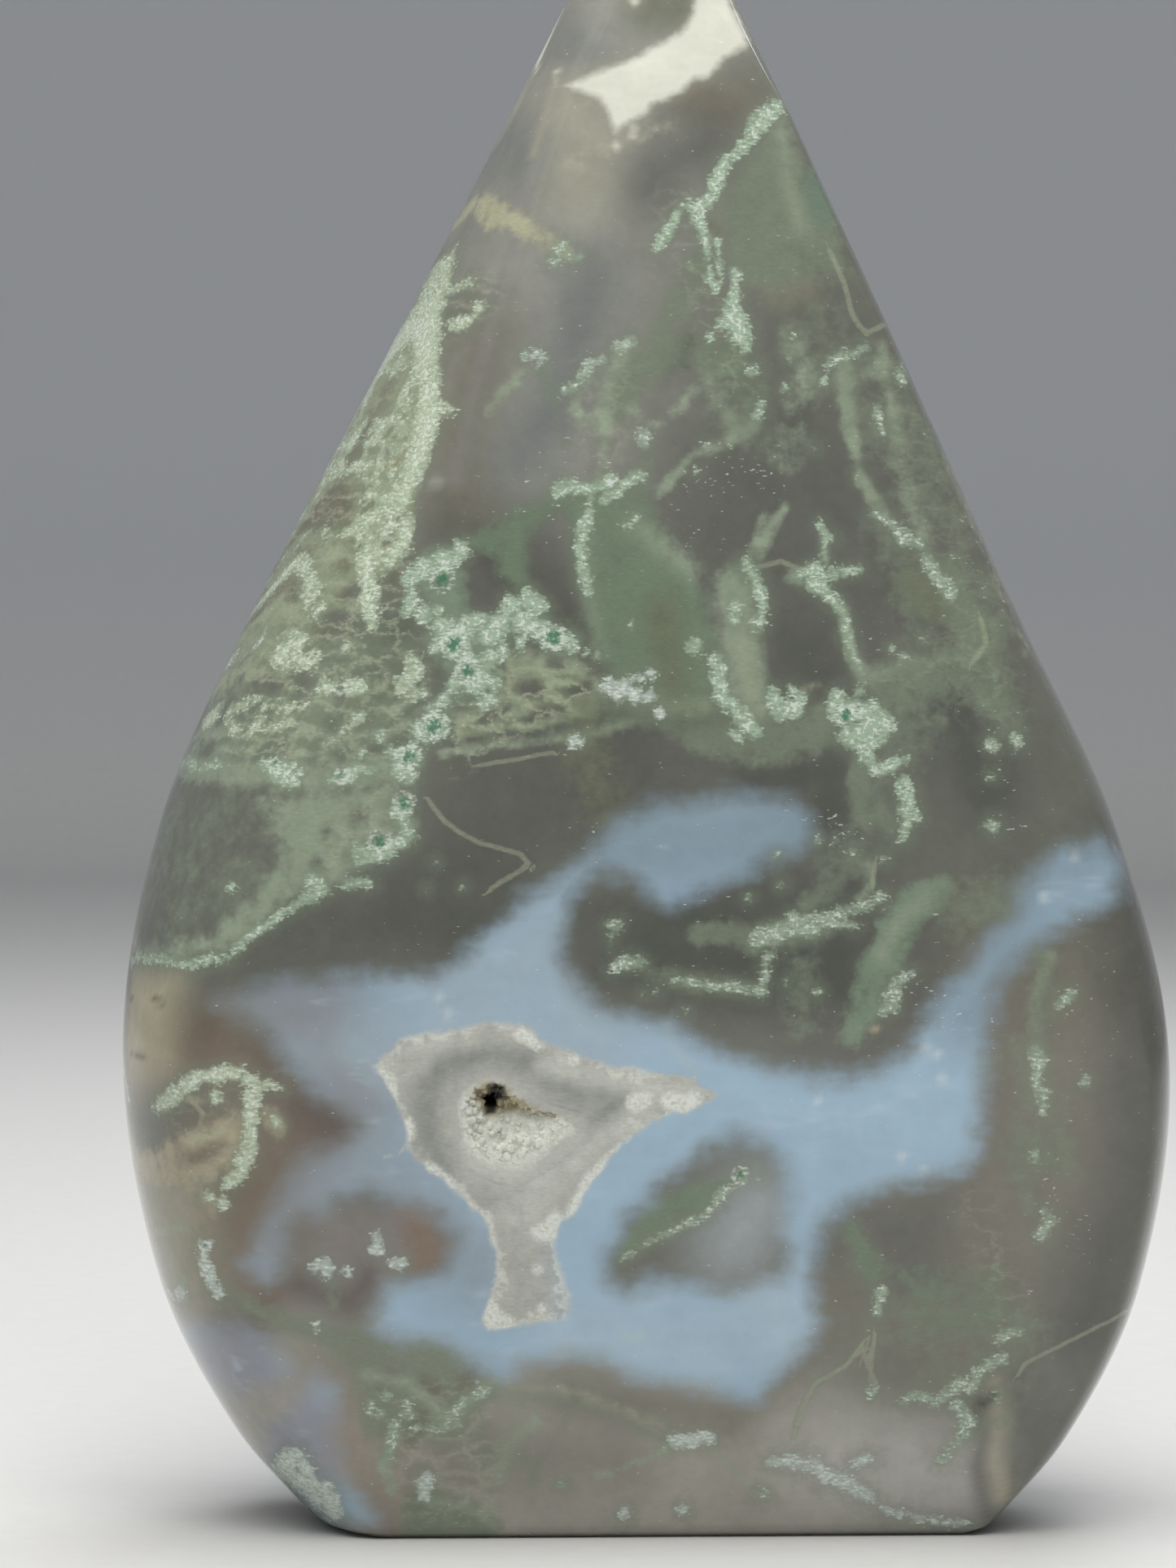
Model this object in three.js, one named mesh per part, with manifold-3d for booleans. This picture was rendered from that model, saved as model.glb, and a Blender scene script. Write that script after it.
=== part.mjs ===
// A moss agate teardrop: a free-standing polished stone with a flat base and a pointed top.
// Millimetres, +Z up. The broad front face looks along -Y and +X is to its right.
// The origin is in the middle of the base.

import * as THREE from 'three';
import { LoftGeometry } from 'three/addons/geometries/LoftGeometry.js';
import { mergeVertices } from 'three/addons/utils/BufferGeometryUtils.js';
import Module from 'manifold-3d';

const { lerp, smoothstep, degToRad, euclideanModulo } = THREE.MathUtils;

// Stone: half widths to the left and right and half thickness, each as [height, size].
const height = 87;
const leftHalf = [[0, 17.1], [5, 21.5], [13, 25.5], [25, 27.4], [37, 25.4],
  [48, 20.6], [60, 14.4], [74, 7.3], [86.1, 1.3]];
const rightHalf = [[0, 18.4], [5, 22.5], [13, 26.1], [25, 27.4], [37, 24.4],
  [48, 19.2], [60, 13.7], [74, 7.2], [86.1, 1.7]];
const halfThickness = [[0, 6.8], [8, 9.2], [20, 11.3], [30, 11.6], [42, 10.7],
  [55, 8.6], [67, 6.3], [76, 4.2], [86.1, 1.5]];
const baseChamfer = 0.45;
const tipRadius = 1.6;
const tipShift = 0.2;              // the tip lies this far to the right of the base's middle
const tipStart = 86.1;             // height where the round tip begins
const tipCap = degToRad(80);       // angle up the tip's arc where its small flat top lies
const tipCentre = height - tipRadius * Math.sin(tipCap);

// Section: the share of each half that is flat, and the power that bends the flank beside it.
const frontFlatLow = 0.8;          // left of the front, below the ridge
const frontFlatHigh = 0.62;        // left of the front, where the ridge is marked
const frontFlatRight = 0.9;
const backFlat = 0.74;
const softFlank = 2;
const ridgeFlank = 1.5;            // under 2 gives a soft crease beside the front face
const ridgeFrom = 26;              // height where the ridge starts to form
const ridgeTo = 54;                // height from which it is fully formed
const roundFrom = 73;              // above this the flats narrow towards the tip
const tipFlats = 0.3;              // share of the flats that is left at the tip

// Facets.
const levelCount = 36;
const tipLevels = 4;
const flankSteps = 7;
const frontSteps = 10;
const backSteps = 8;

// Crystal pit: its mouth is a lobed outline on the front face, as a radius every 30 degrees.
const pitX = -7.4;
const pitZ = 21.7;
const pitMouth = [3.5, 1.95, 1.6, 2.1, 3.05, 3.25, 2.85, 2.85, 2.5, 2.45, 2.3, 2.6];
const pitDepth = 4.4;
const pitDeepX = -1.2;             // the deepest point, measured from the mouth's middle
const pitDeepZ = 1.5;
const pitBowl = 2.3;               // power of the bowl's wall, 1 would be a plain funnel
const pitLip = 0.97;               // share of the mouth where the collar ends and the bowl starts
const pitFloor = 0.05;             // share of the mouth at the small flat floor
const pitSpacing = 0.8;            // power that crowds the rings towards the mouth
const pitSides = 20;
const pitRings = 6;
const clearOfFace = 2;             // how far the cutting shape stands out of the stone

// Druzy crust: a thin lining with a gap of its own to the stone, and crystals standing on it.
const crustGap = 0.3;
const crustWall = 0.4;
const crustSunk = 0.12;            // how far its edge lies under the polished face
const crystalCount = 34;
const crystalWidth = 0.58;
const crystalLength = 0.85;
const crystalFoot = 0.5;           // share of its length that is set in the wall
const crystalShoulder = 0.45;      // share of its length where the six-sided point starts
const crystalLean = 0.35;          // how far the points turn from the wall's normal to the mouth
const crystalReach = 0.93;         // share of the mouth out to which crystals stand
const smallestCrystal = 0.7;
const sizeSpread = 0.5;

// Cubic curve through a list of [place, size] pairs, with slopes from each point's neighbours.
function curveAt(pairs, place) {
  const last = pairs.length - 1;
  let i = 0;
  while (i < last - 1 && place > pairs[i + 1][0]) i += 1;
  const slope = (k) => {
    const before = pairs[Math.max(k - 1, 0)];
    const after = pairs[Math.min(k + 1, last)];
    return (after[1] - before[1]) / (after[0] - before[0]);
  };
  const span = pairs[i + 1][0] - pairs[i][0];
  const u = (place - pairs[i][0]) / span;
  const start = (2 * u ** 3 - 3 * u ** 2 + 1) * pairs[i][1] + (u ** 3 - 2 * u ** 2 + u) * span * slope(i);
  const end = (3 * u ** 2 - 2 * u ** 3) * pairs[i + 1][1] + (u ** 3 - u ** 2) * span * slope(i + 1);
  return start + end;
}

// Half widths and half thickness at a height. Above tipStart they follow the tip's round end.
function halvesAt(z) {
  if (z > tipStart) {
    const arc = Math.sqrt(tipRadius ** 2 - (z - tipCentre) ** 2);
    return { left: arc - tipShift, right: arc + tipShift, thick: arc };
  }
  return { left: curveAt(leftHalf, z), right: curveAt(rightHalf, z), thick: curveAt(halfThickness, z) };
}

// Points of one quarter of a section, from the edge of the flat out to the stone's side.
function flankPoints(half, thick, flat, power, z) {
  const points = [];
  for (let i = 0; i <= flankSteps; i += 1) {
    const turn = (Math.PI / 2) * (i / flankSteps);
    const across = flat + (1 - flat) * Math.sin(turn) ** (2 / power);
    points.push(new THREE.Vector3(half * across, thick * Math.max(Math.cos(turn), 0) ** (2 / power), z));
  }
  return points;
}

// One horizontal section, counterclockwise from the right side: round the back, then the front.
function sectionAt(z, inset = 0) {
  const halves = halvesAt(z);
  const left = inset - halves.left;
  const right = halves.right - inset;
  const thick = halves.thick - inset;
  const ridge = smoothstep(z, ridgeFrom, ridgeTo);
  const narrowing = lerp(1, tipFlats, smoothstep(z, roundFrom, height));
  const flatLeft = lerp(frontFlatLow, frontFlatHigh, ridge) * narrowing;
  const flatRight = frontFlatRight * narrowing;
  const flatBack = backFlat * narrowing;
  const ridgePower = lerp(softFlank, ridgeFlank, ridge);
  const quarters = [
    flankPoints(right, thick, flatBack, softFlank, z).reverse(),
    flankPoints(left, thick, flatBack, softFlank, z),
    flankPoints(left, -thick, flatLeft, ridgePower, z).reverse(),
    flankPoints(right, -thick, flatRight, softFlank, z),
  ];
  const ring = [];
  quarters.forEach((points, i) => {
    const next = quarters[(i + 1) % quarters.length][0];
    ring.push(...points.slice(0, -1));
    const last = points[points.length - 1];
    const steps = [backSteps, 0, frontSteps, 0][i];
    for (let k = 0; k < steps; k += 1) ring.push(last.clone().lerp(next, k / steps));
  });
  return ring;
}

// The whole stone as a loft of sections: chamfered base, body, then the tip's arc.
function stoneGeometry() {
  const sections = [sectionAt(0, baseChamfer)];
  for (let i = 0; i <= levelCount; i += 1) {
    sections.push(sectionAt(lerp(baseChamfer, tipStart, i / levelCount)));
  }
  const startAngle = Math.asin((tipStart - tipCentre) / tipRadius);
  for (let i = 1; i <= tipLevels; i += 1) {
    const angle = lerp(startAngle, tipCap, i / tipLevels);
    sections.push(sectionAt(tipCentre + tipRadius * Math.sin(angle)));
  }
  return weld(new LoftGeometry(sections, { capStart: true, capEnd: true }));
}

// Radius of the pit's mouth in a direction, from the list of radii taken round and round.
function mouthRadius(angle) {
  const turns = euclideanModulo(angle / (Math.PI * 2), 1) * pitMouth.length;
  const first = Math.floor(turns);
  const nearby = [-1, 0, 1, 2].map((offset) => {
    const place = first + offset;
    return [place, pitMouth[euclideanModulo(place, pitMouth.length)]];
  });
  return curveAt(nearby, turns);
}

// A point of the pit's wall in the pit's own frame: mouth in the XZ plane, +Y into the stone.
// share runs from 0 at the deepest point to 1 at the mouth, and inset draws the wall inwards.
function pitPoint(angle, share, inset) {
  const radius = mouthRadius(angle) - inset;
  return new THREE.Vector3(
    lerp(pitDeepX, radius * Math.cos(angle), share),
    (pitDepth - inset) * (1 - share ** pitBowl),
    lerp(pitDeepZ, radius * Math.sin(angle), share),
  );
}

// The direction straight off the pit's wall into the hollow, from the wall's two tangents.
function pitNormal(angle, share) {
  const step = 0.02;
  const around = pitPoint(angle + step, share, 0).sub(pitPoint(angle - step, share, 0));
  const along = pitPoint(angle, share + step, 0).sub(pitPoint(angle, share - step, 0));
  return around.cross(along).normalize();
}

// The hollow as a closed loft, from a straight collar at mouthY in to the deepest point.
function pitGeometry(inset, mouthY) {
  const ringAt = (share) => {
    const ring = [];
    for (let i = 0; i < pitSides; i += 1) ring.push(pitPoint(-(i / pitSides) * Math.PI * 2, share, inset));
    return ring;
  };
  const sections = [ringAt(1).map((p) => p.setY(mouthY))];
  for (let i = 0; i < pitRings; i += 1) sections.push(ringAt(pitLip * (1 - i / pitRings) ** pitSpacing));
  sections.push(ringAt(pitFloor));
  return weld(new LoftGeometry(sections, { capStart: true, capEnd: true }));
}

// A six-sided quartz point along +Y, with its foot below the origin.
function crystalGeometry(width, length) {
  const profile = [
    new THREE.Vector2(0, -crystalFoot * length),
    new THREE.Vector2(width / 2, -crystalFoot * length),
    new THREE.Vector2(width / 2, crystalShoulder * length),
    new THREE.Vector2(0, length),
  ];
  return weld(new THREE.LatheGeometry(profile, 6));
}

// A closed geometry with its shared points merged and no triangle flattened to a line, as a
// lathe leaves them at its axis. It comes before any turn, while shared points still agree.
function weld(geometry) {
  const bare = new THREE.BufferGeometry();
  bare.setAttribute('position', geometry.attributes.position);
  bare.setIndex(geometry.index);
  const merged = mergeVertices(bare, 1e-4);
  const corners = merged.index.array;
  const kept = [];
  for (let i = 0; i < corners.length; i += 3) {
    const [a, b, c] = corners.slice(i, i + 3);
    if (a !== b && b !== c && c !== a) kept.push(a, b, c);
  }
  merged.setIndex(kept);
  return merged;
}

const wasm = await Module();
wasm.setup();

// A welded geometry as a solid that can be joined and cut.
function solidOf(geometry) {
  const mesh = new wasm.Mesh({
    numProp: 3,
    vertProperties: new Float32Array(geometry.attributes.position.array),
    triVerts: new Uint32Array(geometry.index.array),
  });
  return new wasm.Manifold(mesh);
}

// A joined or cut solid back as a geometry.
function geometryOf(solid) {
  const mesh = solid.getMesh();
  const geometry = new THREE.BufferGeometry();
  geometry.setAttribute('position', new THREE.BufferAttribute(new Float32Array(mesh.vertProperties), 3));
  geometry.setIndex(new THREE.BufferAttribute(new Uint32Array(mesh.triVerts), 1));
  geometry.computeVertexNormals();
  return geometry;
}

// Grey-green agate with a high polish.
function polishedAgate() {
  return new THREE.MeshStandardMaterial({ color: 0x74776d, roughness: 0.12, flatShading: true });
}

// Off-white quartz with a sugary sparkle.
function sugaryQuartz() {
  return new THREE.MeshStandardMaterial({ color: 0xd2d0c2, roughness: 0.45, flatShading: true });
}

// The middle of the pit's mouth, on the front face.
const pitPlace = new THREE.Vector3(pitX, -curveAt(halfThickness, pitZ), pitZ);

// The polished stone with its pit cut into the front face.
function agateTeardrop() {
  const hollow = pitGeometry(0, -clearOfFace).translate(...pitPlace);
  const solid = solidOf(stoneGeometry()).subtract(solidOf(hollow));
  const mesh = new THREE.Mesh(geometryOf(solid), polishedAgate());
  mesh.name = 'agate_teardrop';
  return mesh;
}

// The pit's lining: a bowl less a smaller bowl, with small quartz points grown on its wall.
// The points are spread by the golden angle, and stop at the bowl's outside and its mouth.
function druzyCrust() {
  const bowl = solidOf(pitGeometry(crustGap, crustSunk));
  const goldenAngle = Math.PI * (3 - Math.sqrt(5));
  const outward = new THREE.Vector3(0, -1, 0);
  const up = new THREE.Vector3(0, 1, 0);
  let lining = bowl.subtract(solidOf(pitGeometry(crustGap + crustWall, -clearOfFace)));
  for (let i = 0; i < crystalCount; i += 1) {
    const angle = i * goldenAngle;
    const share = crystalReach * Math.sqrt((i + 0.5) / crystalCount);
    const foot = pitPoint(angle, share, crustGap + crustWall / 2);
    const lean = pitNormal(angle, share).lerp(outward, crystalLean).normalize();
    const size = smallestCrystal + sizeSpread * Math.abs(Math.sin(i * 1.7));
    const crystal = crystalGeometry(crystalWidth * size, crystalLength * size);
    crystal.rotateY(i);
    crystal.applyQuaternion(new THREE.Quaternion().setFromUnitVectors(up, lean));
    crystal.translate(...foot);
    lining = lining.add(solidOf(crystal));
  }
  const mesh = new THREE.Mesh(geometryOf(lining.intersect(bowl)), sugaryQuartz());
  mesh.name = 'druzy_crust';
  mesh.position.copy(pitPlace);
  return mesh;
}

const teardrop = new THREE.Group();
teardrop.add(agateTeardrop());
teardrop.add(druzyCrust());

export default teardrop;
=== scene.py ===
import math
import bpy
import numpy as np
from mathutils import Matrix


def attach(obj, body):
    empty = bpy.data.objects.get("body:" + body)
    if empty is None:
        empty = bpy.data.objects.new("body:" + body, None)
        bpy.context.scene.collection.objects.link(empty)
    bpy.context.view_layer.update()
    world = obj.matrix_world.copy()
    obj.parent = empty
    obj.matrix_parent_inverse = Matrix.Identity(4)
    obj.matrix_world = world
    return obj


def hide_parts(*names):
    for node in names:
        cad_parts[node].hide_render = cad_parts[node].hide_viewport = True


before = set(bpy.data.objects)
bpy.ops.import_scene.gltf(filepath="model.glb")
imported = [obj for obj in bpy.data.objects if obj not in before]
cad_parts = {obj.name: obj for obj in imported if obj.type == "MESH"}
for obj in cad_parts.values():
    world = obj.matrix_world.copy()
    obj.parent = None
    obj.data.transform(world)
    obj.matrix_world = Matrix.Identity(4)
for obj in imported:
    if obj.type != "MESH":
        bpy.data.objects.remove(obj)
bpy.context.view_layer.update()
mm = 0.001

# The markings are strokes given as spots of the photo's frame: x to the
# right, y down and a radius, all in its pixels. The camera's values carry them to the stone.
photoView = {
    "width": 1445,
    "height": 1927,
    "azimuth": -4.0,
    "elevation": 2.0,
    "roll": 0.4,
    "distance": 260.0,           # mm from the aim
    "aim": (-3.0, 0.0, 38.75),
    "pixelsPerMm": 23.3,         # at the aim
    "sensor": 36.0,
    "nearest": 0.01,             # m, where the view starts
}
spotsPerMm = 24.0                # pixels to a millimetre on the front face


# The camera's right, up and backward directions, from its azimuth, elevation and roll.
def viewAxes():
    turn, rise, roll = (math.radians(photoView[key]) for key in ("azimuth", "elevation", "roll"))
    back = np.array([math.sin(turn) * math.cos(rise), -math.cos(turn) * math.cos(rise), math.sin(rise)])
    level = np.array([math.cos(turn), math.sin(turn), 0.0])
    plumb = np.cross(back, level)
    right = level * math.cos(roll) + plumb * math.sin(roll)
    up = plumb * math.cos(roll) - level * math.sin(roll)
    return right, up, back


def viewSpot():
    return np.array(photoView["aim"]) + viewAxes()[2] * photoView["distance"]


# Where points in mm show in the photo's frame: sideways and upward distance over the depth.
def photoSpots(points):
    right, up, back = viewAxes()
    away = points - viewSpot()
    reach = photoView["pixelsPerMm"] * photoView["distance"] / -(away @ back)
    across = photoView["width"] / 2 + reach * (away @ right)
    down = photoView["height"] / 2 - reach * (away @ up)
    return across, down


# Puts an object into the scene at a spot in metres, from its right, up and backward directions.
def standAt(thing, spot, axes):
    placed = np.eye(4)
    placed[:3, :3] = np.column_stack(axes)
    placed[:3, 3] = spot
    thing.matrix_world = Matrix(placed.tolist())
    bpy.context.scene.collection.objects.link(thing)


def placeCamera():
    lens = bpy.data.cameras.new("viewCamera")
    lens.sensor_width = photoView["sensor"]
    lens.lens = photoView["pixelsPerMm"] * photoView["distance"] / photoView["height"] * photoView["sensor"]
    lens.clip_start = photoView["nearest"]
    camera = bpy.data.objects.new("viewCamera", lens)
    standAt(camera, viewSpot() * mm, viewAxes())
    bpy.context.scene.camera = camera


placeCamera()
print("camera placed")


# Stone: half widths and half thickness as [height, size] pairs in mm, and the section's flats.
stone = {
    "height": 87.0,
    "left": [[0, 17.1], [5, 21.5], [13, 25.5], [25, 27.4], [37, 25.4], [48, 20.6], [60, 14.4],
             [74, 7.3], [86.1, 1.3]],
    "right": [[0, 18.4], [5, 22.5], [13, 26.1], [25, 27.4], [37, 24.4], [48, 19.2], [60, 13.7],
              [74, 7.2], [86.1, 1.7]],
    "thick": [[0, 6.8], [8, 9.2], [20, 11.3], [30, 11.6], [42, 10.7], [55, 8.6], [67, 6.3],
              [76, 4.2], [86.1, 1.5]],
    "chamfer": 0.45,
    "tipStart": 86.1,
    "tipRadius": 1.6,
    "tipShift": 0.2,
    "tipCap": math.radians(80),
    "flatLow": 0.8,              # share of the left half that is flat, low down
    "flatHigh": 0.62,            # and where the ridge is marked
    "flatRight": 0.9,
    "flatBack": 0.74,
    "ridgePower": 1.5,           # under 2 gives the soft crease beside the face
    "ridgeFrom": 26.0,
    "ridgeTo": 54.0,
    "roundFrom": 73.0,
    "tipFlats": 0.3,
    "insideBox": 0.03,           # the surface lies this far inside the faceted solid's widest points
    "fineTo": 66.0,              # levels are closer below this height
    "fineStep": 0.31,
    "coarseStep": 0.44,
    "tipLevels": 7,
    "frontColumns": 216,
    "backColumns": 66,
    "flankColumns": [14, 16, 28, 22],   # back right, back left, front left, front right
    "baseRings": [0.97, 0.8, 0.6, 0.4, 0.2],
    "underReach": 160,           # pixels that the markings run on from the base's edge to its middle
}

# Pit: its mouth is a lobed outline on the front face, as a radius every 30 degrees.
pit = {
    "x": -7.4,
    "z": 21.7,
    "mouth": [3.5, 1.95, 1.6, 2.1, 3.05, 3.25, 2.85, 2.85, 2.5, 2.45, 2.3, 2.6],
    "depth": 4.4,
    "deepX": -1.2,
    "deepZ": 1.5,
    "bowl": 2.3,
    "rimSnap": 0.036,            # points this near the rim, as a share of its radius, move onto it
}


def smoothStep(value, low, high):
    share = np.clip((value - low) / (high - low), 0, 1)
    return share * share * (3 - 2 * share)


# Cubic curve through [place, size] pairs, each slope being its neighbours' rise over their run.
def curveThrough(pairs, places):
    spots, sizes = np.array(pairs, float).T
    before = np.maximum(np.arange(len(spots)) - 1, 0)
    after = np.minimum(np.arange(len(spots)) + 1, len(spots) - 1)
    slopes = (sizes[after] - sizes[before]) / (spots[after] - spots[before])
    i = np.clip(np.searchsorted(spots, places, side="right") - 1, 0, len(spots) - 2)
    span = spots[i + 1] - spots[i]
    u = (places - spots[i]) / span
    start = (2 * u**3 - 3 * u**2 + 1) * sizes[i] + (u**3 - 2 * u**2 + u) * span * slopes[i]
    return start + (3 * u**2 - 2 * u**3) * sizes[i + 1] + (u**3 - u**2) * span * slopes[i + 1]


# Heights and insets of the stone's levels: a chamfer, even steps, then steps along the tip's arc.
def stoneLevels():
    low, high = stone["chamfer"], stone["tipStart"]
    fine = np.arange(low, stone["fineTo"], stone["fineStep"])
    coarse = np.linspace(stone["fineTo"], high, round((high - stone["fineTo"]) / stone["coarseStep"]))
    centre = stone["height"] - stone["tipRadius"] * math.sin(stone["tipCap"])
    start = math.asin((high - centre) / stone["tipRadius"])
    arc = np.linspace(start, stone["tipCap"], stone["tipLevels"])[1:]
    tip = centre + stone["tipRadius"] * np.sin(arc)
    heights = np.concatenate(([0, 0.5 * low], fine, coarse, tip))
    insets = np.zeros(len(heights))
    insets[:2] = low, 0.5 * low
    return heights, insets + stone["insideBox"]


# Half widths and half thickness at each height. In the tip they follow its round end.
def stoneHalves(z):
    low = np.minimum(z, stone["tipStart"])
    centre = stone["height"] - stone["tipRadius"] * math.sin(stone["tipCap"])
    arc = np.sqrt(np.maximum(stone["tipRadius"]**2 - (z - centre)**2, 0))
    inTip = z > stone["tipStart"]
    left = np.where(inTip, arc - stone["tipShift"], curveThrough(stone["left"], low))
    right = np.where(inTip, arc + stone["tipShift"], curveThrough(stone["right"], low))
    thick = np.where(inTip, arc, curveThrough(stone["thick"], low))
    return left, right, thick


# One quarter of every section: across = flat + (1 - flat) sin(turn)^(2/power) of the half width,
# and depth = cos(turn)^(2/power) of the half thickness, as the turn goes from 0 to 90 degrees.
def flank(half, thick, flat, power, count):
    turn = np.linspace(0, math.pi / 2, count + 1)[None, :]
    bend = 2 / np.reshape(power, (-1, 1))
    across = flat[:, None] + (1 - flat[:, None]) * np.sin(turn) ** bend
    deep = np.maximum(np.cos(turn), 0) ** bend
    return half[:, None] * across, thick[:, None] * deep


# The stone's rings as an array of levels by columns by xyz, counterclockwise from the right side.
def stoneRings():
    z, inset = stoneLevels()
    left, right, thick = (size - inset for size in stoneHalves(z))
    ridge = smoothStep(z, stone["ridgeFrom"], stone["ridgeTo"])
    narrow = 1 + (stone["tipFlats"] - 1) * smoothStep(z, stone["roundFrom"], stone["height"])
    flatLeft = (stone["flatLow"] + (stone["flatHigh"] - stone["flatLow"]) * ridge) * narrow
    flatRight, flatBack = stone["flatRight"] * narrow, stone["flatBack"] * narrow
    power = 2 + (stone["ridgePower"] - 2) * ridge
    soft = np.full(len(z), 2.0)
    counts = stone["flankColumns"]
    backRight = flank(right, thick, flatBack, soft, counts[0])
    backLeft = flank(-left, thick, flatBack, soft, counts[1])
    frontLeft = flank(-left, -thick, flatLeft, power, counts[2])
    frontRight = flank(right, -thick, flatRight, soft, counts[3])
    along = np.linspace(0, 1, stone["backColumns"] + 1)[None, 1:-1]
    backX = backRight[0][:, :1] + (backLeft[0][:, :1] - backRight[0][:, :1]) * along
    along = np.linspace(0, 1, stone["frontColumns"] + 1)[None, 1:-1]
    frontX = frontLeft[0][:, :1] + (frontRight[0][:, :1] - frontLeft[0][:, :1]) * along
    x = np.hstack((backRight[0][:, ::-1], backX, backLeft[0], frontLeft[0][:, -2::-1], frontX,
                   frontRight[0][:, :-1]))
    y = np.hstack((backRight[1][:, ::-1], thick[:, None] + 0 * backX, backLeft[1],
                   frontLeft[1][:, -2::-1], 0 * frontX - thick[:, None], frontRight[1][:, :-1]))
    return np.stack((x, y, np.broadcast_to(z[:, None], x.shape)), axis=2)


# Radius of the pit's mouth in each direction: the curve through its radii, taken round and round.
def mouthRadius(angle):
    radii = pit["mouth"]
    count = len(radii)
    pairs = [[k, radii[k % count]] for k in range(-2, count + 3)]
    return curveThrough(pairs, np.mod(angle / (2 * math.pi), 1) * count)


# A point of the pit's wall: share 0 is the deepest point and 1 the mouth, y runs into the stone,
# depth (1 - share^bowl) down, and inset draws the wall inwards.
def pitWall(angle, share, inset=0.0):
    radius = mouthRadius(angle) - inset
    x = pit["deepX"] + (radius * np.cos(angle) - pit["deepX"]) * share
    z = pit["deepZ"] + (radius * np.sin(angle) - pit["deepZ"]) * share
    deep = (pit["depth"] - inset) * (1 - share ** pit["bowl"])
    return x, deep, z


# How far each point lies from the middle of the mouth, as a share of the mouth's radius.
def mouthShare(x, z):
    angle = np.arctan2(z - pit["z"], x - pit["x"])
    return angle, np.hypot(x - pit["x"], z - pit["z"]) / mouthRadius(angle)


def faceDepth(z):
    return curveThrough(stone["thick"], z) - stone["insideBox"]


# Presses the pit into the front face: points inside its mouth go to the wall at their share. Also
# tells which points lie below the face.
def sinkPit(rings):
    x, y, z = (rings[:, :, k].copy() for k in range(3))
    angle, share = mouthShare(x, z)
    onFace = (y < 0) & (share < 1 + pit["rimSnap"])
    share = np.where(np.abs(share - 1) < pit["rimSnap"], 1.0, share)
    wallX, deep, wallZ = pitWall(angle, np.minimum(share, 1))
    sunk = np.stack((pit["x"] + wallX, deep - faceDepth(pit["z"] + wallZ), pit["z"] + wallZ), axis=2)
    return np.where(onFace[:, :, None], sunk, rings), onFace & (share < 1)


# Faces of a grid of rings, closed around, as quads that look outwards where the rings rise.
def ringFaces(levels, columns, first=0):
    here = first + np.arange(levels - 1)[:, None] * columns + np.arange(columns)[None, :]
    beside = first + np.arange(levels - 1)[:, None] * columns + (np.arange(columns)[None, :] + 1) % columns
    return np.stack((here, beside, beside + columns, here + columns), axis=2).reshape(-1, 4)


# A mesh object in metres from points in mm and quads, with a fan that closes each end ring.
def makeMesh(name, points, quads, fans, smooth):
    mesh = bpy.data.meshes.new(name)
    mesh.vertices.add(len(points))
    mesh.vertices.foreach_set("co", (points * mm).astype(np.float32).ravel())
    corners = np.concatenate([quads.ravel()] + [fan.ravel() for fan in fans]).astype(np.int32)
    sizes = np.concatenate([np.full(len(quads), 4)] + [np.full(len(fan), 3) for fan in fans])
    mesh.loops.add(len(corners))
    mesh.loops.foreach_set("vertex_index", corners)
    mesh.polygons.add(len(sizes))
    mesh.polygons.foreach_set("loop_start", np.concatenate(([0], np.cumsum(sizes)[:-1])).astype(np.int32))
    mesh.update(calc_edges=True)
    mesh.validate()
    if smooth:
        mesh.shade_smooth()
    else:
        mesh.shade_flat()
    piece = bpy.data.objects.new(name, mesh)
    bpy.context.scene.collection.objects.link(piece)
    return piece


# Triangles from a ring to one point, turning the way that makes them look outwards.
def fan(ring, point, rising):
    after = np.roll(ring, -1)
    middle = np.full(len(ring), point)
    return np.stack((ring, after, middle) if rising else (after, ring, middle), axis=1)


# The markings. A stroke is a list of (x, y, radius), and an area is a list of (x, y).
def line(radius, *spots):
    return [(x, y, radius) for x, y in spots]


def dots(*spots):
    return [[spot] for spot in spots]


def area(*spots):
    return list(spots)


farAway = 1e6                    # pixels, past any mark


# Distance in pixels from every spot to a tapering stroke, negative inside it: the least over its
# parts of the distance to the part's line, less the radius at the nearest place on it.
def strokeDistance(x, y, stroke):
    ends = stroke if len(stroke) > 1 else stroke * 2
    best = np.full(x.shape, farAway)
    for (x0, y0, r0), (x1, y1, r1) in zip(ends, ends[1:]):
        dx, dy = x1 - x0, y1 - y0
        along = np.clip(((x - x0) * dx + (y - y0) * dy) / max(dx * dx + dy * dy, 1e-6), 0, 1)
        best = np.minimum(best, np.hypot(x - x0 - along * dx, y - y0 - along * dy) - r0 - along * (r1 - r0))
    return best


# Distance in pixels from every spot to the edge of an area, negative inside, where a line to the
# left crosses its outline an odd number of times.
def areaDistance(x, y, outline):
    best = np.full(x.shape, farAway)
    inside = np.zeros(x.shape, bool)
    for (x0, y0), (x1, y1) in zip(outline, outline[1:] + outline[:1]):
        dx, dy = x1 - x0, y1 - y0
        along = np.clip(((x - x0) * dx + (y - y0) * dy) / max(dx * dx + dy * dy, 1e-6), 0, 1)
        best = np.minimum(best, np.hypot(x - x0 - along * dx, y - y0 - along * dy))
        if dy:
            inside ^= ((y0 > y) != (y1 > y)) & (x < x0 + (y - y0) * dx / dy)
    return np.where(inside, -best, best)


def markDistance(x, y, mark):
    return areaDistance(x, y, mark) if len(mark[0]) == 2 else strokeDistance(x, y, mark)


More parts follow.
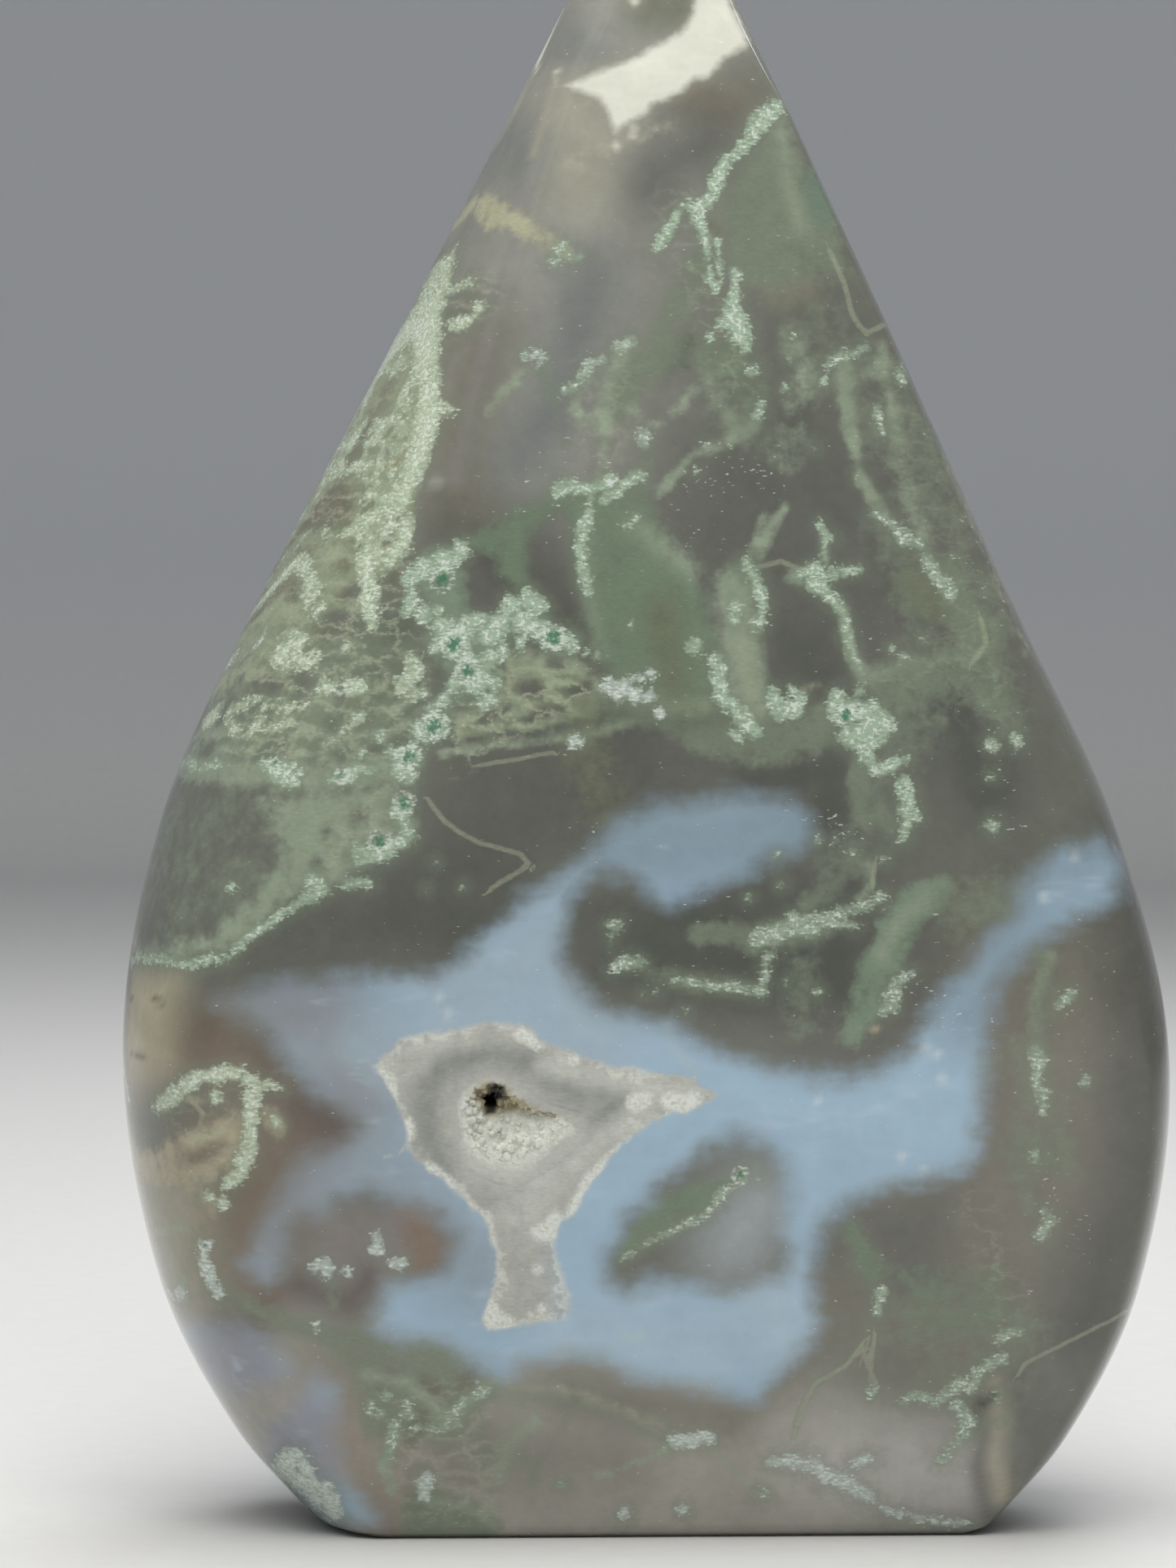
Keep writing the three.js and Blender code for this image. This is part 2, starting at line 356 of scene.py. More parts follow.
# Only the spots within reach of a mark are worked out.
def nearMark(x, y, mark, reach):
    spots = np.array([spot[:2] for spot in mark], float)
    wide = reach + (max(spot[2] for spot in mark) if len(mark[0]) == 3 else 0)
    low, high = spots.min(0) - wide, spots.max(0) + wide
    return (x > low[0]) & (x < high[0]) & (y > low[1]) & (y < high[1])


# The spots that a soft mark reaches, and its share there: the strength times a smooth step from
# 0 at softness outside its edge to 1 at softness inside it.
def softMark(x, y, strength, soft, mark):
    near = nearMark(x, y, mark, soft)
    return near, strength * smoothStep(-markDistance(x[near], y[near], mark), -soft, soft)


# Colours, as 0 to 255 display values.
palette = {
    "stone": (107, 109, 100),
    "upperGrey": (148, 148, 140),
    "midDark": (98, 99, 92),
    "veryDark": (83, 85, 79),
    # painted light: the lower body lighter and browner where the pale floor shines up through it
    "floorLitBrown": (162, 159, 149),
    # painted shade: the thin edges darker where a dark backdrop shows through them
    "edgeShade": (92, 92, 86),
    "purpleGrey": (180, 178, 172),
    "brownGrey": (116, 113, 100),
    "creamGlow": (160, 159, 143),
    # cream moss at edges, and also the painted highlight near the ridge's top
    "creamEdgeAndSheen": (168, 166, 148),
    "tanBrown": (118, 112, 98),
    "olive": (110, 113, 92),
    # painted highlight: the soft pale reflection along the left ridge's crease
    "ridgeSheen": (134, 133, 128),
    "blueHaze": (117, 121, 119),
    "spur": (172, 172, 144),
    "sage": (121, 131, 113),
    "darkSage": (90, 100, 83),
    "paleSage": (148, 161, 139),
    "mossGreen": (112, 130, 107),
    "leafGreen": (126, 144, 123),
    "teal": (104, 130, 114),
    "warm": (136, 128, 112),
    "strand": (168, 160, 134),
    "purpleBrown": (92, 83, 76),
    "mauve": (132, 126, 122),
    "pore": (102, 105, 89),
    "webStrand": (166, 173, 147),
    "rightBrown": (122, 119, 108),
    "cream": (154, 163, 136),
    "creamSheet": (150, 161, 135),
    "tan": (184, 178, 152),
    "brown": (100, 91, 79),
    "orange": (158, 128, 66),
    "mint": (164, 184, 160),
    "dullMint": (155, 171, 150),
    "mintWhite": (190, 202, 192),
    "creamWhite": (180, 194, 168),
    "white": (226, 231, 224),
    "deepGreen": (62, 118, 90),
    "blue": (160, 187, 206),
    "trunkBlue": (163, 182, 195),
    "smokyBlue": (138, 158, 170),
    "lavender": (139, 144, 149),
    "lilac": (146, 149, 158),
    "rust": (128, 110, 95),
    "milkWhite": (184, 202, 214),
    "windowGrey": (160, 168, 171),
    "chalk": (222, 223, 209),
    "dark": (62, 60, 52),
    "pitBrown": (144, 135, 106),
    "druzyBright": (214, 216, 206),
    "druzyLight": (196, 198, 190),
    "druzyGrey": (146, 149, 144),
    "druzyPale": (180, 181, 173),
}


# A palette colour as linear values, which is how Blender mixes light.
def tone(name):
    share = np.array(palette[name]) / 255
    return np.where(share > 0.04045, ((share + 0.055) / 1.055) ** 2.4, share / 12.92)


# Broad washes of the body colour, some of them painted light and shade: tone, strength, softness in pixels,
# mark.
bodyWashes = [
    ("upperGrey", 1.0, 170, line(150, (740, -60), (740, 150), (690, 330), (640, 520))),
    ("midDark", 0.9, 110, line(120, (950, 620), (1050, 800))),
    ("midDark", 0.9, 90, line(90, (620, 720), (800, 960), (1000, 1150), (1250, 1330))),
    ("midDark", 0.9, 60, line(50, (330, 1150), (460, 1130))),
    ("veryDark", 0.6, 70, line(50, (540, 1130), (620, 1010), (760, 940))),
    ("veryDark", 0.8, 40, line(40, (1180, 880), (1210, 970))),
    # painted light: the lower body lighter and browner where the floor shines up through it
    ("floorLitBrown", 0.9, 60, line(60, (620, 1830), (800, 1830))),
    ("floorLitBrown", 1.0, 150, line(130, (330, 1760), (640, 1800), (950, 1810))),
    ("rightBrown", 1.0, 100, line(110, (1150, 1600), (1280, 1450), (1290, 1250))),
    ("brownGrey", 0.7, 30, line(24, (700, 1712), (900, 1742), (1030, 1600))),
    ("purpleBrown", 0.4, 50, line(40, (560, 1790), (760, 1790))),
    # painted shade: the right edge darker where a dark backdrop shows through it
    ("edgeShade", 0.9, 50, line(45, (1385, 1050), (1410, 1250), (1400, 1450), (1340, 1620))),
    ("purpleGrey", 0.9, 60, line(60, (1030, 1800), (1160, 1810))),
    ("windowGrey", 1.0, 60, line(40, (900, 1530), (930, 1480))),
    ("brownGrey", 0.8, 50, line(45, (590, 410), (560, 600))),
    ("blueHaze", 0.8, 40, line(34, (640, 170), (645, 190))),
    ("blueHaze", 0.7, 40, line(30, (700, 60), (705, 66))),
    ("blueHaze", 0.9, 45, line(34, (725, 350), (690, 480), (640, 560))),
    ("creamGlow", 0.8, 45, line(42, (700, 135), (722, 165), (716, 225))),
    # painted shadow below the right end of the chalk band
    ("tanBrown", 0.8, 35, line(28, (845, 118), (905, 125))),
    ("olive", 0.7, 30, line(22, (795, 8), (835, 14))),
    ("veryDark", 0.6, 45, line(36, (800, 230), (820, 200), (870, 175))),
    ("dark", 0.35, 60, line(40, (560, 660), (640, 690), (700, 760))),
    ("midDark", 0.8, 40, area((560, 930), (700, 925), (820, 960), (700, 1040), (600, 1000))),
    ("dark", 0.1, 50, area((520, 1010), (640, 1080), (560, 1150), (420, 1170), (380, 1130))),
    ("tan", 1.0, 45, area((140, 1190), (215, 1200), (225, 1300), (190, 1330), (150, 1340), (110, 1300))),
    ("brown", 0.9, 30, area((245, 1245), (340, 1290), (400, 1350), (420, 1400), (340, 1400), (330, 1460),
                            (290, 1520), (250, 1480), (330, 1350), (230, 1300))),
    ("purpleBrown", 0.9, 25, line(26, (375, 1372), (405, 1385))),
    ("brownGrey", 0.9, 22, area((205, 1365), (290, 1365), (295, 1430), (240, 1435), (200, 1425))),
    ("tan", 0.5, 36, area((180, 1440), (260, 1440), (275, 1560), (240, 1620), (205, 1580), (170, 1500))),
    ("brown", 0.8, 25, line(22, (330, 1590), (300, 1650), (280, 1640))),
    ("mauve", 0.9, 30, area((385, 1490), (520, 1480), (560, 1530), (480, 1580), (440, 1600), (360, 1600))),
    ("rust", 0.9, 18, area((490, 1490), (530, 1500), (546, 1530), (540, 1558), (508, 1565), (500, 1530))),
    ("rust", 0.5, 50, line(50, (250, 1290), (340, 1420), (300, 1560))),
    ("rust", 0.4, 50, line(50, (420, 1720), (470, 1850))),
    ("purpleBrown", 0.7, 20, line(16, (370, 1580), (430, 1600), (450, 1570))),
    ("tanBrown", 0.35, 34, line(30, (1190, 1100), (1210, 1160))),
    ("midDark", 0.8, 40, area((1060, 1490), (1160, 1470), (1170, 1580), (1090, 1600))),
    ("veryDark", 0.7, 40, area((950, 770), (1020, 770), (1030, 860), (960, 850))),
    ("veryDark", 0.7, 40, area((560, 1120), (700, 1100), (690, 1180), (560, 1190))),
    ("veryDark", 0.8, 40, area((720, 1110), (900, 1095), (1060, 1090), (1060, 1240), (900, 1250),
                               (730, 1200))),
    ("veryDark", 0.8, 30, line(30, (930, 955), (1020, 950), (1020, 1010))),
    ("warm", 0.7, 22, line(16, (955, 355), (985, 352))),
    ("tan", 0.7, 20, [(1222, 1700, 4), (1228, 1740, 8), (1222, 1790, 5), (1232, 1835, 12)]),
    ("dark", 0.55, 14, [(1200, 1722, 6), (1209, 1765, 3), (1200, 1802, 9), (1212, 1860, 6)]),
    ("dark", 0.35, 8, line(4, (1246, 1800), (1243, 1835))),
    ("dark", 0.8, 5, line(4, (798, 796), (812, 801))),
    ("upperGrey", 0.9, 6, line(7, (532, 593), (538, 593))),
    ("dark", 0.7, 4, line(3, (190, 1228), (200, 1233))),
    ("dark", 0.7, 4, line(3, (168, 1296), (176, 1298))),
    ("veryDark", 0.8, 16, line(12, (1155, 826), (1176, 856))),
    ("strand", 0.9, 4, line(5, (1073, 1265), (1076, 1265))),
    ("olive", 0.9, 6, line(4, (874, 276), (882, 284))),
    ("brown", 0.6, 6, line(5, (800, 772), (815, 756), (806, 745))),
    # painted highlight: a soft pale reflection along the left ridge's crease
    ("ridgeSheen", 0.75, 18, line(6, (690, 60), (650, 210), (625, 310), (603, 400), (585, 480), (560, 590))),
    # painted highlight: the brighter thin streak of the ridge's reflection near its top
    ("creamEdgeAndSheen", 0.8, 8, line(3, (680, 105), (668, 150), (655, 190))),
    # painted shade: the left edge darker where a dark backdrop shows through the thin stone
    ("edgeShade", 0.9, 14, line(6, (555, 275), (503, 378), (440, 493), (388, 603), (330, 723), (268, 838))),
]

# Sheets of fine moss, seen as a grainy veil, and one painted shadow under a crust: tone, density, softness in
# pixels, mark.
mossSheets = [
    ("creamEdgeAndSheen", 0.5, 16, line(10, (820, 150), (760, 175), (700, 200))),
    ("spur", 1.0, 10, area((590, 238), (612, 246), (640, 262), (662, 282), (700, 305), (706, 318), (680, 308),
                           (655, 296), (625, 282), (598, 282), (584, 262))),
    ("sage", 0.95, 22, area((955, 150), (1000, 220), (1030, 290), (1040, 330), (1000, 340), (950, 360),
                            (910, 340), (890, 300), (885, 260), (900, 220), (930, 180))),
    ("paleSage", 0.7, 18, line(6, (960, 160), (970, 230), (985, 280))),
    ("teal", 0.6, 18, line(10, (1000, 220), (1010, 262))),
    ("sage", 0.85, 24, line(18, (856, 330), (826, 385), (804, 440), (762, 482))),
    ("darkSage", 0.5, 18, area((852, 395), (862, 420), (850, 460), (810, 480), (815, 440))),
    ("sage", 0.7, 14, line(16, (820, 430), (790, 465), (755, 500))),
    ("paleSage", 0.6, 9, line(9, (765, 430), (750, 455), (743, 500), (740, 560), (738, 596))),
    ("paleSage", 0.6, 8, line(7, (725, 460), (708, 478), (703, 500), (715, 520), (735, 512))),
    ("paleSage", 0.5, 8, line(7, (648, 455), (622, 478), (600, 505))),
    ("sage", 0.6, 9, line(8, (668, 462), (682, 505), (695, 545))),
    ("paleSage", 0.5, 9, line(7, (905, 452), (862, 470), (835, 500), (805, 522), (775, 500))),
    ("paleSage", 0.5, 9, line(8, (868, 465), (885, 500), (908, 528))),
    ("paleSage", 0.75, 7, [(930, 522, 8), (900, 540, 8), (870, 551, 6), (850, 560, 6), (832, 582, 8),
                           (812, 606, 8)]),
    ("sage", 0.5, 9, line(9, (792, 545), (797, 580), (788, 622))),
    ("sage", 0.9, 14, line(16, (868, 440), (902, 436))),
    ("mossGreen", 0.5, 20, line(22, (905, 460), (925, 480))),
    ("paleSage", 0.45, 16, line(18, (975, 420), (990, 470), (970, 560))),
    ("paleSage", 0.75, 8, [(1035, 445, 11), (1040, 480, 10), (1042, 520, 8), (1052, 560, 6), (1058, 590, 6)]),
    ("paleSage", 0.9, 6, line(7, (1058, 588), (1072, 610), (1085, 632))),
    ("paleSage", 0.5, 8, line(8, (1050, 470), (1068, 460), (1085, 440))),
    ("paleSage", 0.6, 9, [(1084, 430, 8), (1086, 460, 8), (1098, 500, 9), (1102, 550, 10), (1115, 600, 10),
                       (1130, 645, 10), (1142, 690, 8)]),
    ("sage", 0.5, 24, area((1110, 490), (1150, 520), (1195, 640), (1185, 680), (1150, 640), (1120, 560))),
    ("creamEdgeAndSheen", 0.3, 8, line(5, (1165, 560), (1195, 635), (1235, 730), (1262, 800))),
    ("olive", 0.9, 14, area((1110, 690), (1140, 705), (1165, 745), (1200, 775), (1140, 760), (1112, 740),
                            (1098, 715))),
    ("paleSage", 0.7, 8, [(965, 622, 3), (948, 645, 7), (932, 680, 9)]),
    ("paleSage", 0.6, 7, line(4, (938, 632), (928, 660), (922, 690))),
    ("sage", 0.4, 20, line(26, (890, 500), (940, 540))),
    ("sage", 0.85, 16, line(16, (1180, 750), (1190, 775))),
    ("sage", 0.75, 16, line(9, (1060, 830), (1100, 820), (1150, 808), (1190, 795), (1205, 800))),
    ("sage", 0.7, 26, line(20, (1205, 800), (1215, 850), (1245, 890))),
    ("cream", 1.0, 12, area((560, 295), (548, 340), (540, 395), (535, 450), (535, 500), (515, 585),
                            (503, 640), (490, 695), (430, 720), (400, 745), (345, 790), (305, 775),
                            (345, 690), (395, 585), (445, 485), (500, 385), (545, 290))),
    ("cream", 0.8, 20, area((330, 750), (385, 740), (400, 790), (360, 810), (300, 850), (285, 820))),
    ("tanBrown", 0.8, 14, line(14, (470, 470), (450, 500), (440, 540), (425, 570))),
    ("tanBrown", 0.9, 9, area((402, 596), (425, 590), (436, 625), (425, 655), (398, 668), (372, 690),
                              (362, 690), (380, 640))),
    ("brown", 0.7, 7, line(7, (424, 692), (419, 699))),
    ("brown", 0.75, 7, line(9, (359, 716), (362, 730))),
    ("brown", 0.7, 8, line(7, (392, 778), (430, 776))),
    ("brown", 0.6, 8, line(6, (430, 714), (422, 740))),
    ("brown", 0.9, 5, line(7, (463, 665), (478, 666))),
    ("brown", 0.6, 6, line(6, (478, 720), (488, 700))),
    ("darkSage", 0.6, 9, area((470, 760), (500, 738), (512, 765), (492, 795), (455, 790))),
    ("midDark", 0.8, 8, line(8, (530, 824), (542, 836))),
    ("tanBrown", 0.7, 10, line(9, (455, 820), (480, 808))),
    ("creamSheet", 0.8, 6, line(7, (405, 716), (430, 708), (448, 700))),
    ("creamSheet", 0.8, 6, line(7, (405, 745), (430, 745), (450, 742))),
    ("creamSheet", 0.9, 6, line(8, (375, 665), (395, 660), (415, 650))),
    ("creamSheet", 0.9, 8, line(9, (345, 825), (352, 845), (345, 860))),
    ("creamEdgeAndSheen", 0.8, 8, [(408, 560, 9), (385, 612, 7), (362, 655, 7), (340, 690, 8), (325, 735, 8),
                           (310, 775, 8), (300, 815, 6)]),
    ("creamEdgeAndSheen", 0.5, 8, [(552, 290, 5), (505, 385, 8), (455, 480, 8), (420, 545, 8)]),
    ("orange", 0.9, 6, line(4, (478, 575), (500, 557))),
    ("orange", 0.8, 6, line(5, (490, 843), (493, 845))),
    ("sage", 0.85, 24, area((400, 780), (455, 775), (520, 790), (530, 830), (420, 840), (385, 830))),
    ("sage", 0.7, 20, area((270, 900), (290, 850), (350, 850), (420, 850), (500, 850), (500, 905),
                               (430, 930), (330, 935), (250, 940))),
    ("paleSage", 0.95, 8, line(13, (400, 855), (388, 880), (375, 905), (365, 930))),
    ("creamSheet", 0.85, 5, line(5, (470, 840), (445, 848), (432, 862), (430, 880))),
    ("paleSage", 0.8, 6, line(7, (520, 850), (490, 868), (475, 880), (455, 892), (430, 905), (400, 918))),
    ("paleSage", 0.8, 6, line(7, (545, 860), (510, 880), (480, 900), (440, 915))),
    ("paleSage", 0.7, 6, line(6, (475, 862), (468, 890))),
    ("paleSage", 0.9, 6, line(7, (355, 885), (325, 900), (295, 912), (270, 925))),
    ("creamSheet", 0.8, 5, line(5, (330, 900), (315, 915), (303, 928))),
    ("paleSage", 0.8, 6, line(7, (262, 905), (285, 895), (300, 900))),
    ("leafGreen", 0.85, 16, line(26, (540, 700), (560, 790), (590, 840))),
    ("leafGreen", 0.8, 16, line(18, (600, 780), (650, 760), (690, 790))),
    ("leafGreen", 0.8, 14, line(14, (560, 850), (530, 893), (500, 935))),
    ("paleSage", 0.95, 14, line(12, (250, 950), (345, 955), (440, 945), (500, 940))),
    ("creamSheet", 1.0, 12, area((620, 810), (650, 800), (700, 810), (740, 835), (745, 860), (700, 870),
                                 (650, 880), (600, 890), (560, 900), (555, 880), (600, 860), (625, 835))),
    ("midDark", 0.85, 10, line(10, (645, 848), (658, 848))),
    ("midDark", 0.7, 10, line(8, (680, 815), (688, 815))),
    ("midDark", 0.7, 8, line(8, (640, 905), (655, 903))),
    ("midDark", 0.8, 7, line(7, (595, 885), (618, 872))),
    ("midDark", 0.8, 7, line(7, (700, 850), (722, 845))),
    ("midDark", 0.7, 7, line(6, (660, 875), (690, 872))),
    ("creamSheet", 0.9, 6, line(6, (560, 905), (600, 895), (650, 893), (700, 880), (740, 868))),
    ("paleSage", 0.8, 6, line(6, (545, 925), (600, 915), (660, 910), (710, 905), (780, 885))),
    ("mossGreen", 1.0, 20, area((575, 665), (600, 650), (640, 625), (690, 603), (715, 605), (790, 605),
                                (800, 620), (830, 690), (850, 700), (865, 770), (880, 790), (870, 880),
                                (800, 880), (760, 850), (735, 790), (700, 770), (660, 740), (610, 700))),
    ("midDark", 0.9, 18, area((650, 655), (690, 625), (702, 645), (708, 700), (716, 740), (724, 770),
                              (690, 760), (665, 735), (645, 700))),
    ("paleSage", 0.7, 18, line(10, (775, 640), (810, 670), (850, 700))),
    ("paleSage", 0.7, 16, line(8, (722, 640), (728, 730), (742, 800))),
    ("creamSheet", 0.55, 18, line(10, (800, 868), (870, 872))),
    ("sage", 0.8, 22, line(14, (740, 870), (800, 880), (870, 900), (940, 905), (1010, 895))),
    ("sage", 0.85, 18, line(16, (915, 780), (922, 850))),
    ("mossGreen", 0.8, 18, line(16, (905, 720), (918, 700))),
    ("dullMint", 0.9, 8, line(10, (975, 708), (1005, 715))),
    ("teal", 0.9, 7, line(9, (990, 708), (1012, 722))),
    ("paleSage", 0.6, 6, line(5, (1012, 660), (1014, 690))),
    ("paleSage", 0.85, 20, line(18, (900, 720), (905, 760), (912, 820), (925, 870))),
    ("cream", 0.5, 12, line(8, (918, 790), (925, 860))),
    ("sage", 0.95, 22, line(20, (870, 905), (930, 915), (970, 912), (1010, 895))),
    ("spur", 0.6, 6, line(4, (985, 850), (1005, 842))),
    ("paleSage", 0.9, 7, [(1036, 748, 6), (1042, 790, 6), (1050, 815, 8), (1062, 835, 8)]),
    ("paleSage", 0.5, 9, line(8, (1065, 832), (1105, 825), (1150, 812), (1190, 798))),
    ("sage", 0.45, 22, area((1050, 840), (1200, 790), (1215, 830), (1160, 880), (1090, 890))),
    ("olive", 0.6, 34, line(26, (715, 890), (730, 960), (745, 985))),
    ("sage", 0.75, 24, line(16, (1080, 850), (1130, 838), (1180, 828))),
    ("sage", 0.8, 20, line(14, (1165, 690), (1180, 740), (1190, 795))),
    ("sage", 0.5, 30, line(18, (1210, 730), (1230, 850))),
    ("sage", 0.45, 30, line(22, (1080, 640), (1120, 740), (1140, 800))),
    ("mossGreen", 0.9, 20, line(22, (745, 640), (748, 720), (760, 800))),
    ("olive", 0.7, 24, line(22, (815, 750), (825, 840))),
    ("sage", 0.4, 40, line(30, (1000, 380), (1060, 480), (1110, 600))),
    ("sage", 0.35, 40, line(36, (1120, 900), (1080, 1000), (1040, 1050))),
    ("sage", 0.4, 40, line(30, (1180, 1320), (1240, 1300), (1290, 1380))),
    ("sage", 0.4, 40, line(30, (1100, 1640), (1180, 1690), (1260, 1640))),
    ("sage", 0.45, 36, line(34, (420, 1680), (560, 1740), (640, 1800))),
    ("sage", 0.95, 8, line(12, (1060, 935), (1054, 965), (1056, 995), (1085, 1004))),
    ("sage", 0.95, 10, line(14, (860, 1148), (900, 1145), (925, 1160))),
    ("paleSage", 0.8, 7, line(6, (1065, 1062), (1072, 1085), (1055, 1105))),
    ("darkSage", 0.55, 16, line(8, (740, 875), (850, 890), (900, 880))),
    ("paleSage", 0.9, 9, line(10, (235, 945), (300, 943), (380, 957), (440, 955), (490, 947))),
    ("paleSage", 1.0, 20, area((320, 985), (500, 960), (505, 1015), (470, 1050), (400, 1090), (360, 1105),
                               (300, 1150), (255, 1172), (180, 1172), (260, 1150), (320, 1100), (350, 1050))),
    ("midDark", 0.7, 8, line(6, (440, 1000), (442, 1002))),
    ("midDark", 0.7, 8, line(5, (400, 1020), (401, 1021))),
    ("midDark", 0.7, 8, line(6, (390, 1060), (391, 1061))),
    ("sage", 0.3, 30, area((170, 1000), (310, 960), (330, 1050), (300, 1120), (170, 1165), (160, 1100))),
    ("sage", 0.8, 16, line(12, (995, 1112), (1030, 1082), (1052, 1060))),
    ("sage", 0.55, 26, area((955, 1165), (1005, 1170), (1010, 1270), (970, 1270))),
    ("leafGreen", 1.0, 15, [(1160, 1095, 12), (1125, 1110, 20), (1102, 1140, 24), (1086, 1180, 22),
                            (1072, 1210, 22), (1060, 1240, 18), (1046, 1275, 14)]),
    ("paleSage", 0.8, 10, line(8, (1140, 1104), (1112, 1124), (1094, 1150), (1082, 1176))),
    ("paleSage", 0.8, 8, line(6, (1290, 1175), (1280, 1200), (1270, 1240), (1275, 1290))),
    ("sage", 0.55, 30, line(34, (1175, 1115), (1230, 1100))),
    ("sage", 0.9, 14, line(12, (940, 1150), (1000, 1142), (1030, 1130))),
    ("sage", 0.7, 14, line(9, (790, 1190), (850, 1208), (930, 1216))),
    ("sage", 0.75, 18, line(14, (1282, 1180), (1276, 1240), (1275, 1300))),
    ("mossGreen", 0.5, 28, area((1230, 1395), (1310, 1395), (1320, 1440), (1240, 1445))),
    ("sage", 0.75, 14, line(9, (1255, 1450), (1265, 1485))),
    ("mossGreen", 0.85, 16, line(14, (1042, 1512), (1060, 1540), (1072, 1560), (1080, 1582))),
    ("strand", 0.6, 8, line(6, (200, 1362), (235, 1350), (265, 1352), (282, 1360))),
    ("strand", 0.8, 14, area((165, 1422), (215, 1400), (262, 1380), (298, 1372), (304, 1400), (280, 1440),
                             (240, 1456), (170, 1452))),
    ("brown", 0.75, 9, area((225, 1420), (262, 1404), (278, 1406), (262, 1424), (232, 1434))),
    ("strand", 0.6, 8, line(7, (225, 1452), (250, 1470), (262, 1490))),
    ("strand", 0.8, 8, line(11, (332, 1370), (342, 1388))),
    ("paleSage", 0.6, 7, line(5, (190, 1515), (215, 1510), (242, 1512))),
    ("paleSage", 0.6, 8, line(9, (222, 1572), (226, 1592))),
    ("sage", 0.85, 14, line(10, (275, 1590), (300, 1605), (350, 1625), (400, 1640), (450, 1652),
                            (480, 1660))),
    ("sage", 0.7, 12, line(8, (405, 1575), (410, 1602))),
    ("sage", 0.85, 16, area((430, 1620), (480, 1645), (560, 1652), (610, 1690), (600, 1720), (560, 1760),
                            (450, 1770), (440, 1700), (400, 1640))),
    ("brown", 0.7, 9, line(8, (520, 1700), (535, 1710))),
    ("brown", 0.7, 9, line(8, (480, 1690), (470, 1700))),
    ("brown", 0.7, 9, line(8, (520, 1740), (505, 1770))),
    ("brown", 0.6, 9, line(9, (570, 1700), (580, 1690))),
    ("paleSage", 0.8, 7, line(7, (450, 1690), (500, 1700), (540, 1735), (560, 1750))),
    ("paleSage", 0.8, 7, line(7, (610, 1695), (575, 1725), (545, 1752))),
    ("paleSage", 0.7, 7, line(8, (485, 1765), (472, 1795), (480, 1830))),
    ("sage", 0.5, 16, line(14, (600, 1705), (660, 1715), (710, 1718), (770, 1742), (830, 1765))),
    ("creamEdgeAndSheen", 0.4, 8, line(5, (600, 1700), (660, 1705), (710, 1712), (770, 1735), (830, 1762))),
    ("paleSage", 0.35, 9, line(8, (660, 1745), (625, 1775), (608, 1830), (602, 1875))),
    ("sage", 0.35, 10, line(6, (700, 1740), (660, 1800), (650, 1850))),
    ("sage", 0.9, 14, area((500, 1840), (530, 1825), (580, 1845), (615, 1875), (600, 1890), (490, 1890))),
    ("paleSage", 0.7, 6, line(6, (530, 1845), (575, 1850), (605, 1872))),
    ("paleSage", 0.8, 6, line(5, (828, 1774), (790, 1797), (735, 1813))),
    ("paleSage", 0.7, 6, line(5, (875, 1780), (900, 1805), (918, 1830))),
    ("sage", 0.7, 6, line(4, (1062, 1650), (1040, 1678), (1000, 1702), (986, 1730), (975, 1765))),
    ("mossGreen", 0.5, 24, area((1100, 1560), (1230, 1560), (1240, 1640), (1120, 1640))),
    # painted shadow under the crust beside it
    ("dark", 0.8, 8, line(8, (1195, 1735), (1225, 1712))),
    ("mossGreen", 1.0, 14, area((755, 1550), (775, 1515), (800, 1482), (840, 1460), (900, 1447), (885, 1470),
                                (855, 1500), (800, 1525), (760, 1548))),
    ("sage", 0.6, 18, line(10, (1255, 1690), (1232, 1740), (1200, 1760))),
]

# Crisp crusts of mint and white grains, each a list of strokes.
mintVein = [
    [(955, 132, 10), (935, 148, 12), (922, 168, 8), (905, 190, 5), (890, 200, 8), (882, 220, 8),
     (875, 240, 8), (858, 255, 9), (858, 268, 8), (865, 285, 6), (868, 303, 6), (870, 325, 4), (873, 340, 5),
     (880, 355, 5)],
    [(882, 298, 4), (885, 340, 3)],
    [(850, 250, 6), (835, 262, 3)],
    [(830, 265, 6), (820, 285, 7), (808, 300, 6), (805, 307, 4)],
]
coneCrust = [
    [(904, 337, 7), (903, 352, 6), (900, 375, 9), (903, 395, 14), (910, 408, 14), (917, 425, 7)],
] + dots((888, 398, 7), (872, 415, 6), (922, 455, 5), (930, 452, 5), (975, 414, 3), (970, 440, 2),
         (965, 478, 3), (1012, 470, 4), (1000, 550, 2), (855, 578, 3))
upperKnots = [
    [(645, 435, 4), (655, 433, 4), (668, 443, 4), (660, 450, 4)],
    [(738, 440, 5), (722, 450, 6), (717, 460, 7)],
    [(690, 482, 4), (705, 475, 4)],
    [(760, 428, 5), (775, 420, 6)],
    [(788, 532, 7), (793, 542, 6)],
    [(936, 497, 5), (927, 513, 6)],
] + dots((870, 550, 5), (690, 305, 9), (682, 322, 6), (712, 315, 6), (698, 312, 8))
rightKnots = [
    [(1018, 445, 4), (1035, 438, 6), (1052, 434, 5), (1064, 424, 2)],
    [(1105, 455, 5), (1108, 465, 6)],
    [(1078, 505, 4), (1080, 515, 5), (1085, 530, 4)],
    [(1072, 632, 2), (1088, 636, 4), (1098, 648, 6), (1110, 662, 9), (1128, 668, 6)],
    [(1140, 690, 6), (1152, 706, 7), (1164, 722, 9), (1170, 731, 7)],
] + dots((1055, 584, 3), (1220, 915, 8), (1248, 910, 7), (1095, 798, 4), (1110, 808, 4), (1135, 785, 4),
         (1220, 953, 4), (1220, 1015, 7))
